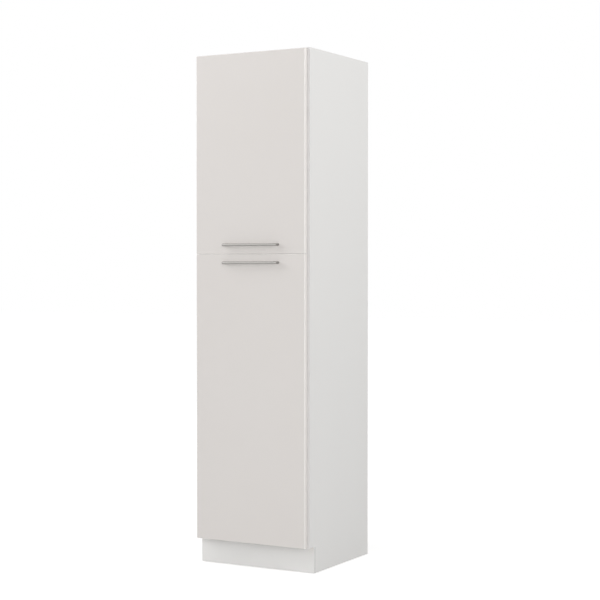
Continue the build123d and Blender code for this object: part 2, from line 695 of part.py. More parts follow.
def hinge_arms(which):
    """Pressed steel arms over the plates' rails, each with a nose for the pivot."""
    front = CARCASS_FRONT
    with BuildPart() as arms:
        for z in HINGE_Z[which]:
            with BuildSketch(Plane.XY.offset(z - ARM_HALF_WIDTH)):
                with BuildLine():
                    Polyline(
                        (PIVOT_X + ARM_NOSE, PIVOT_Y),
                        (PIVOT_X + ARM_NOSE, front + ARM_NOSE_FOOT),
                        (ARM_FOOT_X, front + ARM_SHOULDER),
                        (ARM_FOOT_X, front + ARM_LENGTH),
                        (ARM_TOP_X, front + ARM_LENGTH),
                        (ARM_TOP_X, front + ARM_SHOULDER),
                        (PIVOT_X - ARM_NOSE, front + ARM_NOSE_TOP),
                        (PIVOT_X - ARM_NOSE, PIVOT_Y),
                    )
                    ThreePointArc(
                        (PIVOT_X - ARM_NOSE, PIVOT_Y),
                        (PIVOT_X, PIVOT_Y - ARM_NOSE),
                        (PIVOT_X + ARM_NOSE, PIVOT_Y),
                    )
                make_face()
            extrude(amount=2 * ARM_HALF_WIDTH)
            channel = ARM_HALF_WIDTH - ARM_WALL
            block(
                (ARM_TOP_X + ARM_WALL, front + ARM_CHANNEL_START, z - channel),
                (ARM_FOOT_X, front + ARM_LENGTH, z + channel),
                Mode.SUBTRACT,
            )
            with Locations((PIVOT_X, PIVOT_Y, z)):
                Cylinder(PIVOT_HOLE_RADIUS, 2 * ARM_HALF_WIDTH, mode=Mode.SUBTRACT)
        screws = arm_screw_planes(which)
        pegs(screws, ARM_SCREW_RADIUS + PLAY, ARM_WALL, mode=Mode.SUBTRACT)
    return arms


def arm_screw_planes(which):
    """Planes on the arms' tops where the fixing and adjusting screws stand."""
    places = [CARCASS_FRONT + inset for inset in ARM_SCREW_INSETS]
    return [facing(ARM_TOP_X, y, z, (-1, 0, 0)) for z in HINGE_Z[which] for y in places]


def hinge_links(which):
    """Pairs of link plates on their pivot pin, folded back along the arms."""
    turn = math.radians(LINK_CLOSED_ANGLE)
    middle_x = PIVOT_X + LINK_LENGTH / 2 * math.cos(turn)
    middle_y = PIVOT_Y + LINK_LENGTH / 2 * math.sin(turn)
    near = ARM_HALF_WIDTH + LINK_SIDE_PLAY
    with BuildPart() as links:
        for z in HINGE_Z[which]:
            for low in (-near - LINK_PLATE, near):
                with BuildSketch(Plane.XY.offset(z + low)):
                    with Locations((middle_x, middle_y)):
                        SlotCenterToCenter(LINK_LENGTH, LINK_WIDTH, rotation=LINK_CLOSED_ANGLE)
                extrude(amount=LINK_PLATE)
            with Locations((PIVOT_X, PIVOT_Y, z)):
                Cylinder(PIVOT_PIN_RADIUS, 2 * (near + LINK_PLATE))
    return links


# Screws of both doors' hinges on the carcass
with BuildPart() as hinge_plate_screws_set:
    for y, z in hinge_plate_screws():
        face = facing(INNER - PLATE_THICKNESS, y, z, (-1, 0, 0))
        pegs([face], EURO_SCREW_RADIUS, EURO_SCREW_LENGTH)
        with Locations(face):
            Cylinder(EURO_SCREW_HEAD_RADIUS, EURO_SCREW_HEAD, align=BOTTOM)

with BuildPart() as hinge_arm_screws:
    for which in ("lower", "upper"):
        for face in arm_screw_planes(which):
            pegs([face], ARM_SCREW_RADIUS, PLATE_RAIL_X - ARM_TOP_X)
            with Locations(face):
                Cylinder(ARM_SCREW_HEAD_RADIUS, ARM_SCREW_HEAD, align=BOTTOM)

pieces = {
    "side_panel_left": side_panel_left,
    "side_panel_right": side_panel_right,
    "bottom_panel": bottom_panel,
    "fixed_shelf": fixed_shelf,
    "top_panel": top_panel,
    "upper_back_panel": upper_back_panel,
    "rear_rail_top": rear_rail_top,
    "rear_rail_middle": rear_rail_middle,
    "rear_rail_bottom": rear_rail_bottom,
    "appliance_front_rail": appliance_front_rail,
    "adjustable_shelf": adjustable_shelf,
    "shelf_pins": shelf_pins,
    "front_edging": front_edging,
    "plinth_board": plinth_board,
    "plinth_brackets": plinth_brackets,
    "plinth_bracket_screws": plinth_bracket_screws,
    "cam_locks": cam_locks,
    "cam_bolts": cam_bolts,
    "dowels": dowels,
    "cam_caps": cam_caps,
    "floor_glides": floor_glides,
    "hinge_plate_screws": hinge_plate_screws_set,
    "hinge_arm_screws": hinge_arm_screws,
}
for which in ("lower", "upper"):
    pieces[f"{which}_door_panel"] = door_panel(which)
    pieces[f"{which}_handle"] = handle(which)
    pieces[f"{which}_handle_screws"] = handle_screws(which)
    pieces[f"{which}_hinge_cups"] = hinge_cups(which)
    pieces[f"{which}_cup_screws"] = cup_screws(which)
    pieces[f"{which}_door_buffers"] = door_buffers(which)
    pieces[f"{which}_hinge_plates"] = hinge_plates(which)
    pieces[f"{which}_hinge_arms"] = hinge_arms(which)
    pieces[f"{which}_hinge_links"] = hinge_links(which)

os.makedirs("parts", exist_ok=True)
for name, piece in pieces.items():
    piece.part.label = name
    export_step(piece.part, f"parts/{name}.step")
    print(name, len(piece.part.solids()), round(piece.part.volume))
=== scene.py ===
"""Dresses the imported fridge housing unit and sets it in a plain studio.

The unit is a tall white carcass of faced chipboard with two slab doors, two bar
handles, concealed hinges and a plinth. Metres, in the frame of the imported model:
X to the right seen from the front, Y to the back, Z up from the floor.
"""

import logging
import math
from collections.abc import Callable, Sequence
from dataclasses import dataclass
from enum import Enum, IntEnum
from typing import Any

import bmesh
import bpy
from mathutils import Matrix, Vector

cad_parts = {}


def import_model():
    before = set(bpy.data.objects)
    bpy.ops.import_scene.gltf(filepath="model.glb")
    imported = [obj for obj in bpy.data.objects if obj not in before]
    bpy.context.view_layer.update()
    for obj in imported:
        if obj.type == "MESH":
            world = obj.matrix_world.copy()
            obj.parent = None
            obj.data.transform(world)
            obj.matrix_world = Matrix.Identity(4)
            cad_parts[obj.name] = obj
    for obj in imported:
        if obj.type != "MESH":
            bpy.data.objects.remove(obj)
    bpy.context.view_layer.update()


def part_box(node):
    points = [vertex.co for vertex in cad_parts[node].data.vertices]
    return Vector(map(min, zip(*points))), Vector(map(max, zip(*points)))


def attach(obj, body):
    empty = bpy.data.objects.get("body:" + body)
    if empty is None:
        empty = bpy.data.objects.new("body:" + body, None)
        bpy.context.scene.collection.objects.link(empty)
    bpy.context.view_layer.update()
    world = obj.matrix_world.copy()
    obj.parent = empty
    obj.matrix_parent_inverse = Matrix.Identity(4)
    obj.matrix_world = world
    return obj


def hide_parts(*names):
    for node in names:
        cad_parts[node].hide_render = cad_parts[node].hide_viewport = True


log = logging.getLogger("fridge_housing_unit")

Finishes = dict[str, bpy.types.Material]
Outputs = bpy.types.bpy_prop_collection
Settings = dict[Any, Any]
Socket = bpy.types.NodeSocket
Spot = Sequence[float]
Test = Callable[[Vector, Vector], bool]

MM = 0.001
# An edge counts as lying in a plane when it is closer than TOUCH, and as running along
# an axis when it covers more than LONG of it. A face counts as looking one way when
# more than FACING of its normal points there.
TOUCH = 0.1 * MM
LONG = 1 * MM
FACING = 0.9
# Solids that stand further apart than this are separate ones.
CLUSTER_GAP = 100 * MM
# How far a cutter stands out of what it cuts.
PAST = 1 * MM
MIRROR = Matrix.Scale(-1, 4, (1, 0, 0))
DOWN = (0, 0, -1)
REARWARD = (0, 1, 0)
# A Mix node's sockets go by number, because their names repeat.
SHARE, NUMBER_A, NUMBER_B, COLOUR_A, COLOUR_B = 0, 2, 3, 6, 7
MIXED_COLOUR = 2
COLOURS = {"data_type": "RGBA"}
WHITE = "#ffffff"
# The record's slots that several sub-assemblies take their finish from.
STEEL, ZINC = "nickel_plated_steel", "zinc_plated_screws"
# Fittings inside the boards, which keep their own meshes, and what each is made of.
HIDDEN_FITTINGS = (
    ("cam_locks", "die_cast_zinc"),
    ("cam_bolts", ZINC),
    ("dowels", "beech_dowel"),
)


class Which(Enum):
    """The two doors, by the names that their nodes start with."""

    LOWER = "lower"
    UPPER = "upper"


class Axis(IntEnum):
    """The axes, by their number in a point."""

    X = 0
    Y = 1
    Z = 2


class Sides(IntEnum):
    """How many sides a round piece has, by how large it looks."""

    HOLE = 24
    PEG = 32
    DISC = 48
    BAR = 56
    BORE = 64
    CUP = 72


def linear(code: str) -> tuple[float, float, float, float]:
    """Turns an sRGB hex colour into the linear colour that a socket takes.

    Args:
        code: The colour as #rrggbb.

    Returns:
        Red, green, blue and a full alpha.
    """
    parts = [int(code[at : at + 2], 16) / 255 for at in (1, 3, 5)]
    # The curve is the one that the sRGB standard gives.
    red, green, blue = (
        p / 12.92 if p <= 0.04045 else ((p + 0.055) / 1.055) ** 2.4 for p in parts
    )
    return red, green, blue, 1.0


def two_tones(first: str, second: str) -> Settings:
    """Gives the settings that mix two colours."""
    return {**COLOURS, COLOUR_A: linear(first), COLOUR_B: linear(second)}


def add_node(
    tree: bpy.types.NodeTree,
    kind: str,
    settings: Settings | None = None,
    links: dict[Any, Socket] | None = None,
) -> Outputs:
    """Adds one node with its settings and links.

    Args:
        tree: The node tree it goes into.
        kind: The end of the node's type name, such as TexNoise.
        settings: Properties by their lower-case name, and socket values by the
            socket's name or number.
        links: The output that feeds each of its sockets.

    Returns:
        The new node's outputs.
    """
    node = tree.nodes.new("ShaderNode" + kind)
    for key, value in (settings or {}).items():
        if isinstance(key, str) and key.islower():
            setattr(node, key, value)
        else:
            node.inputs[key].default_value = value
    for key, source in (links or {}).items():
        tree.links.new(source, node.inputs[key])
    return node.outputs


class Recipe:
    """A material under work, with the place on the object and the way it faces there."""

    def __init__(self, name: str) -> None:
        """Starts an empty material.

        Args:
            name: The material's name.
        """
        self.material = bpy.data.materials.new(name)
        self.material.use_nodes = True
        self.tree = self.material.node_tree
        self.tree.nodes.clear()
        spots = self.add("TexCoord")
        self.place, self.facing = spots["Object"], spots["Normal"]

    def add(
        self, kind: str, settings: Settings | None = None, links: dict[Any, Socket] | None = None
    ) -> Outputs:
        """Adds one node to this material's tree; see add_node."""
        return add_node(self.tree, kind, settings, links)

    def finish(
        self, settings: Settings, links: dict[str, Socket], relief: tuple[Socket, float, float]
    ) -> bpy.types.Material:
        """Bumps and shades the surface.

        Args:
            settings: Values on the shader's own sockets.
            links: What feeds the shader's other sockets.
            relief: Its height from 0 to 1, its depth in metres, and how much of it shows.

        Returns:
            The finished material.
        """
        height, depth, strength = relief
        bump = self.add("Bump", {"Strength": strength, "Distance": depth}, {"Height": height})
        shader = self.add("BsdfPrincipled", settings, {**links, "Normal": bump[0]})
        self.add("OutputMaterial", links={"Surface": shader[0]})
        return self.material


@dataclass(frozen=True)
class FoilWrappedDoor:
    """White PVC foil pressed over an MDF slab, with a faced back.

    The foil gives a soft even sheen with the faintest waviness. On the rounded edges it
    is burnished to a lower roughness, and its colour there is painted near white as a
    painted highlight. MDF shows where the back is bored, and the back is a plain white
    melamine face.
    """

    name: str
    low: Vector
    high: Vector
    tones: tuple[str, str] = ("#e2dedb", "#e0dbd7")
    # Painted highlight: the rounded edges are painted this near white, to stand in for the light
    # that they catch.
    painted_highlight_tone: str = "#fffcf9"
    back_tone: str = "#e0dfdd"
    core: tuple[str, str] = ("#a98c66", "#8a6d49")
    skin: float = 0.4 * MM
    rounding: float = 3.2 * MM
    # The foil's waves are about 3 mm across; drawn at 9 mm so that they show.
    wave: float = 9 * MM
    drift: float = 600 * MM
    fibre: float = 1.5 * MM
    turned: float = 0.12
    rough: tuple[float, float] = (0.36, 0.43)
    burnished: float = 0.2
    raw: float = 0.85
    depth: float = 0.01 * MM

    def build(self) -> bpy.types.Material:
        """Makes the material.

        Returns:
            The material, which fits only a door between the two corners.
        """
        r = Recipe(self.name)
        axes = r.add("SeparateXYZ", links={0: r.place})
        waves, drift, fibres = (
            r.add("TexNoise", {"Scale": 1 / size, "Detail": detail}, {"Vector": r.place})[0]
            for size, detail in ((self.wave, 2.0), (self.drift, 1.0), (self.fibre, 4.0))
        )
        # The rounded edges, found where the normal turns between front and side: they get the
        # painted highlight and the burnished roughness.
        turn = r.add("SeparateXYZ", links={0: r.facing})[Axis.Y]
        level = r.add("Math", {"operation": "ABSOLUTE"}, {0: turn})[0]
        between = r.add("Math", {"operation": "PINGPONG", 1: 0.5}, {0: level})[0]
        rounded = r.add("MapRange", {"From Max": self.turned}, {"Value": between})[0]
        behind = {"operation": "GREATER_THAN", 1: self.high.y - TOUCH}
        on_back = r.add("Math", behind, {0: axes[Axis.Y]})[0]
        inside = self._inside(r, axes)
        colour = r.add("Mix", two_tones(*self.tones), {SHARE: drift})[MIXED_COLOUR]
        # The painted highlight on the rounded edges, then the back's own melamine tone.
        for share, tone in ((rounded, self.painted_highlight_tone), (on_back, self.back_tone)):
            laid = {**COLOURS, COLOUR_B: linear(tone)}
            colour = r.add("Mix", laid, {SHARE: share, COLOUR_A: colour})[MIXED_COLOUR]
        mdf = r.add("Mix", two_tones(*self.core), {SHARE: fibres})[MIXED_COLOUR]
        cut = {SHARE: inside, COLOUR_A: colour, COLOUR_B: mdf}
        colour = r.add("Mix", COLOURS, cut)[MIXED_COLOUR]
        low, high = self.rough
        rough = r.add("MapRange", {"To Min": low, "To Max": high}, {"Value": waves})[0]
        for share, value in ((rounded, self.burnished), (inside, self.raw)):
            rough = r.add("Mix", {NUMBER_B: value}, {SHARE: share, NUMBER_A: rough})[0]
        links = {"Base Color": colour, "Roughness": rough}
        return r.finish({"IOR": 1.5}, links, (waves, self.depth, 0.35))

    def _inside(self, r: Recipe, axes: Outputs) -> Socket:
        """Marks what lies under the skin of the slab.

        Args:
            r: The material under work.
            axes: The place's three coordinates.

        Returns:
            1 in the bores, 0 on the foil and the back.
        """
        marks = []
        for axis, rim in zip(Axis, (self.skin, self.rounding, self.skin)):
            low, high = self.low[axis] + rim, self.high[axis] - self.skin
            reach = (high - low) / 2
            within = {"operation": "COMPARE", 1: low + reach, 2: reach}
            marks.append(r.add("Math", within, {0: axes[axis]})[0])
        wide = r.add("Math", {"operation": "MULTIPLY"}, {0: marks[0], 1: marks[1]})[0]
        return r.add("Math", {"operation": "MULTIPLY"}, {0: wide, 1: marks[2]})[0]


@dataclass(frozen=True)
class FacedChipboard:
    """White melamine paper on both faces of a chipboard core.

    The faces have a fine pearled grain and a satin sheen. Sawn edges, grooves and
    holes show the core: coarse chips in the middle, finer dust near the faces.
    """

    name: str
    through: Axis
    faces: tuple[float, float]
    banded: tuple[tuple[Axis, float], ...] = ()
    tone: str = "#e4e3e1"
    band_tone: str = "#dad9d7"
    chips: tuple[str, str, str] = ("#8f6f48", "#b8966a", "#d4b88c")
    chip_stops: tuple[float, float, float] = (0.2, 0.5, 0.8)
    paper: float = 0.25 * MM
    # Chips are about 6 by 1 mm on a sawn edge; drawn at twice that so that they show.
    chip: float = 12 * MM
    chip_thickness: float = 2.2 * MM
    dust: float = 2 * MM
    dusty: float = 0.45
    # The pearled grain is about 1 mm; drawn at 4 mm so that it shows.
    pearl: float = 4 * MM
    rough: tuple[float, float] = (0.4, 0.48)
    raw: float = 0.9
    depth: float = 0.5 * MM
    pearl_share: float = 0.03

    def build(self) -> bpy.types.Material:
        """Makes the material.

        Returns:
            The material, which fits only a board with these two faces.
        """
        r = Recipe(self.name)
        axes = r.add("SeparateXYZ", links={0: r.place})
        faced = self._near(r, axes, [(self.through, at) for at in self.faces])
        white = {COLOUR_B: linear(self.tone)}
        cover = {}
        if self.banded:
            strips = self._near(r, axes, self.banded)
            banded = {**COLOURS, COLOUR_A: linear(self.band_tone), **white}
            cover[COLOUR_B] = r.add("Mix", banded, {SHARE: faced})[MIXED_COLOUR]
            faced = r.add("Math", {"operation": "MAXIMUM"}, {0: faced, 1: strips})[0]
        sizes = [self.chip] * 3
        sizes[self.through] = self.chip_thickness
        by = {"operation": "MULTIPLY", 1: [1 / size for size in sizes]}
        spots = r.add("VectorMath", by, {0: r.place})[0]
        cells = r.add("TexVoronoi", {"Scale": 1.0}, {"Vector": spots})
        dust, pearl = (
            r.add("TexNoise", {"Scale": 1 / size, "Detail": detail}, {"Vector": r.place})[0]
            for size, detail in ((self.dust, 3.0), (self.pearl, 2.0))
        )
        pick = r.add("SeparateColor", links={0: cells["Color"]})[0]
        blend = r.add("Mix", {SHARE: self.dusty}, {NUMBER_A: pick, NUMBER_B: dust})[0]
        wood = r.add("ValToRGB", links={0: blend})[0]
        stops = wood.node.color_ramp.elements
        stops.new(self.chip_stops[1])
        for stop, at, shade in zip(stops, self.chip_stops, self.chips):
            stop.position, stop.color = at, linear(shade)
        layers = {SHARE: faced, COLOUR_A: wood, **cover}
        colour = r.add("Mix", {**COLOURS, **white}, layers)[MIXED_COLOUR]
        low, high = self.rough
        sheen = r.add("MapRange", {"To Min": low, "To Max": high}, {"Value": pearl})[0]
        rough = r.add("Mix", {NUMBER_A: self.raw}, {SHARE: faced, NUMBER_B: sheen})[0]
        bumps = {SHARE: faced, NUMBER_A: cells["Distance"], NUMBER_B: pearl}
        relief = r.add("Mix", links=bumps)[0]
        deep = r.add("Mix", {NUMBER_A: 1.0, NUMBER_B: self.pearl_share}, {SHARE: faced})[0]
        shaped = r.add("Math", {"operation": "MULTIPLY"}, {0: relief, 1: deep})[0]
        links = {"Base Color": colour, "Roughness": rough}
        return r.finish({"IOR": 1.5}, links, (shaped, self.depth, 0.6))

    def _near(self, r: Recipe, axes: Outputs, planes: Sequence[tuple[Axis, float]]) -> Socket:
        """Marks what lies on any of some planes.

        Args:
            r: The material under work.
            axes: The place's three coordinates.
            planes: Each plane's axis and place.

        Returns:
            1 on the planes, 0 elsewhere.
        """
        marks = [
            r.add("Math", {"operation": "COMPARE", 1: at, 2: self.paper}, {0: axes[axis]})[0]
            for axis, at in planes
        ]
        while len(marks) > 1:
            pair = {0: marks.pop(), 1: marks.pop()}
            marks.append(r.add("Math", {"operation": "MAXIMUM"}, pair)[0])
        return marks[0]


@dataclass(frozen=True)
class LacqueredHardboard:
    """Thin hardboard, lacquered white inside and raw behind.

    The raw side is brown felted fibre with the mesh of the press screen in it.
    """

    name: str
    front: float
    tone: str = "#dfddd8"
    fibre: tuple[str, str] = ("#8b6a47", "#6d5036")
    lacquer: float = 0.15 * MM
    felt: float = 12 * MM
    # The press screen's wires are about 1.5 mm apart; drawn at 4 mm so that they show.
    wires: float = 4 * MM
    wires_per_size: float = 2.0
    raw: float = 0.85
    rough: float = 0.5
    depth: float = 0.3 * MM

    def build(self) -> bpy.types.Material:
        """Makes the material.

        Returns:
            The material, which fits a board whose inside is at this depth.
        """
        r = Recipe(self.name)
        depth = r.add("SeparateXYZ", links={0: r.place})[Axis.Y]
        inside = {"operation": "COMPARE", 1: self.front, 2: self.lacquer}
        white = r.add("Math", inside, {0: depth})[0]
        felt = r.add("TexNoise", {"Scale": 1 / self.felt, "Detail": 6.0}, {"Vector": r.place})[0]
        brown = r.add("Mix", two_tones(*self.fibre), {SHARE: felt})[MIXED_COLOUR]
        laid = {**COLOURS, COLOUR_B: linear(self.tone)}
        colour = r.add("Mix", laid, {SHARE: white, COLOUR_A: brown})[MIXED_COLOUR]
        rough = r.add("Mix", {NUMBER_A: self.raw, NUMBER_B: self.rough}, {SHARE: white})[0]
        by = {"operation": "MULTIPLY", 1: [1 / self.wires] * 3}
        grid = r.add("VectorMath", by, {0: r.place})[0]
        wave = {"Scale": self.wires_per_size / math.tau, "Distortion": 0.4}
        across, up = (
            r.add("TexWave", {"bands_direction": way, **wave}, {"Vector": grid})["Fac"]
            for way in ("X", "Z")
        )
        mesh = r.add("Math", {"operation": "MULTIPLY"}, {0: across, 1: up})[0]
        relief = r.add("Mix", {NUMBER_B: 0.5}, {SHARE: white, NUMBER_A: mesh})[0]
        links = {"Base Color": colour, "Roughness": rough}
        return r.finish({"IOR": 1.5}, links, (relief, self.depth, 0.5))


@dataclass(frozen=True)
class Marks:
    """A pattern of small marks: their size along each axis, detail and roughness."""

    sizes: tuple[float, float, float]
    detail: float = 2.0
    roughness: float = 0.5


@dataclass(frozen=True)
class GrainedFinish:
    """A finish whose tone, sheen and relief each follow a pattern of small marks."""

    name: str
    tones: tuple[str, ...]
    rough: tuple[float, float] = (0.4, 0.5)
    relief: Marks = Marks((3 * MM,) * 3)
    sheen: Marks = relief
    tint: Marks = relief
    depth: float = 0.02 * MM
    strength: float = 0.5
    metallic: float = 0.0
    ior: float = 1.5
    clear: float = 0.0

    def build(self) -> bpy.types.Material:
        """Makes the material.

        Returns:
            The finished material.
        """
        r = Recipe(self.name)
        drawn = {}
        for marks in dict.fromkeys((self.relief, self.sheen, self.tint)):
            by = {"operation": "MULTIPLY", 1: [1 / size for size in marks.sizes]}
            spots = r.add("VectorMath", by, {0: r.place})[0]
            look = {"Scale": 1.0, "Detail": marks.detail, "Roughness": marks.roughness}
            drawn[marks] = r.add("TexNoise", look, {"Vector": spots})[0]
        low, high = self.rough
        sheen = r.add("MapRange", {"To Min": low, "To Max": high}, {"Value": drawn[self.sheen]})
        settings = {
            "Base Color": linear(self.tones[0]),
            "Metallic": self.metallic,
            "IOR": self.ior,
            "Transmission Weight": self.clear,
        }
        links = {"Roughness": sheen[0]}
        if len(self.tones) > 1:
            mixed = r.add("Mix", two_tones(*self.tones), {SHARE: drawn[self.tint]})
            links["Base Color"] = mixed[MIXED_COLOUR]
        return r.finish(settings, links, (drawn[self.relief], self.depth, self.strength))


@dataclass(frozen=True)
class MouldedPlastic(GrainedFinish):
    """Plastic straight from the mould or the extruder.

    A fine even grain, a soft sheen and a trace of colour drift.
    """

    tint: Marks = Marks((150 * MM,) * 3)


@dataclass(frozen=True)
class BrushedSteel(GrainedFinish):
    """Stainless bar with a brushed satin finish along the bar.

    Long fine scratches spread the highlight round the bar and leave it streaked.
    """

    tones: tuple[str, str] = ("#999794", "#a6a4a1")
    rough: tuple[float, float] = (0.45, 0.58)
    # Brush marks are about 0.1 mm wide and 40 mm long; drawn 0.6 mm wide to show.
    relief: Marks = Marks((40 * MM, 0.6 * MM, 0.6 * MM), 3.0, 0.6)
    sheen: Marks = relief
    tint: Marks = relief
    strength: float = 0.4
    metallic: float = 1.0


@dataclass(frozen=True)
class PlatedMetal(GrainedFinish):
    """A thin bright plating over steel, or a bare zinc casting.

    The plating follows the small waves of the pressed or cast metal under it, and
    its sheen is a little uneven.
    """

    sheen: Marks = Marks((20 * MM,) * 3)
    tint: Marks = sheen
    metallic: float = 1.0


@dataclass(frozen=True)
class TurnedBeech(GrainedFinish):
    """Beech dowel rod: pale pink brown with short dark flecks along the rod."""

    tones: tuple[str, str] = ("#c99f72", "#9c7148")
    rough: tuple[float, float] = (0.6, 0.75)
    relief: Marks = Marks((6 * MM, MM, MM), 4.0)
    sheen: Marks = relief
    tint: Marks = relief
    depth: float = 0.05 * MM


@dataclass(frozen=True)
class ClearElastomer(GrainedFinish):
    """Soft clear polyurethane: it lets light through and has a slightly dull skin."""

    tones: tuple[str] = ("#e8e9e6",)
    rough: tuple[float, float] = (0.2, 0.35)
    relief: Marks = Marks((MM,) * 3)
    sheen: Marks = relief
    tint: Marks = relief
    strength: float = 0.3
    ior: float = 1.48
    clear: float = 0.7


def shared_finishes() -> Finishes:
    """Builds the finishes that several pieces share.

    Returns:
        The finishes by the record's slot names.
    """
    nickel, plate, cast = (Marks((size,) * 3, 3.0) for size in (4 * MM, 1.5 * MM, 0.8 * MM))
    recipes = {
        "edging_strip": MouldedPlastic("abs_edging_white", ("#e7e5e4", "#e4e2e1")),
        "white_plastic_cap": MouldedPlastic("polystyrene_cap_white", ("#e6e5e2", "#e2e1dd")),
        "glide_plastic": MouldedPlastic(
            "polypropylene_glide_black", ("#232323", "#1c1c1c"), (0.45, 0.6)
        ),
        "brushed_steel_bar": BrushedSteel("brushed_stainless_steel"),
        STEEL: PlatedMetal(
            "nickel_plated_pressed_steel", ("#c9c6bf", "#bdb9b1"), (0.2, 0.32), nickel
        ),
        ZINC: PlatedMetal("zinc_plated_steel", ("#c2c6c9", "#aeb3b7"), (0.3, 0.45), plate),
        "die_cast_zinc": PlatedMetal(
            "die_cast_zinc", ("#a3a4a4", "#8d8f90"), (0.45, 0.6), cast, depth=0.05 * MM
        ),
        "beech_dowel": TurnedBeech("turned_beech"),
        "clear_buffer": ClearElastomer("clear_polyurethane"),
    }
    return {slot: recipe.build() for slot, recipe in recipes.items()}


def release() -> None:
    """Goes back to object mode with nothing selected."""
    active = bpy.context.view_layer.objects.active
    if active and active.mode != "OBJECT":
        bpy.ops.object.mode_set(mode="OBJECT")
    bpy.ops.object.select_all(action="DESELECT")


def under(axis: Axis, level: float) -> Test:
    """Passes edges that lie at a level on an axis, or below it."""
    return lambda a, b: max(a[axis], b[axis]) < level + TOUCH


def over(axis: Axis, level: float) -> Test:
    """Passes edges that lie at a level on an axis, or above it."""
    return lambda a, b: min(a[axis], b[axis]) > level - TOUCH


def along(axis: Axis) -> Test:
    """Passes edges that run along an axis."""
    return lambda a, b: abs(a[axis] - b[axis]) > LONG


def both(first: Test, second: Test) -> Test:
    """Passes edges that pass two tests."""
    return lambda a, b: first(a, b) and second(a, b)


def placed(spot: Spot, looks: Spot) -> Matrix:
    """Places a pattern that stands at the origin and looks up, and turns it."""
    return Matrix.Translation(spot) @ Vector(looks).to_track_quat("Z", "Y").to_matrix().to_4x4()


def raised(heights: Sequence[float]) -> list[Matrix]:
    """Places a pattern that is made at height 0 at each of the heights."""
    return [Matrix.Translation((0, 0, z)) for z in heights]


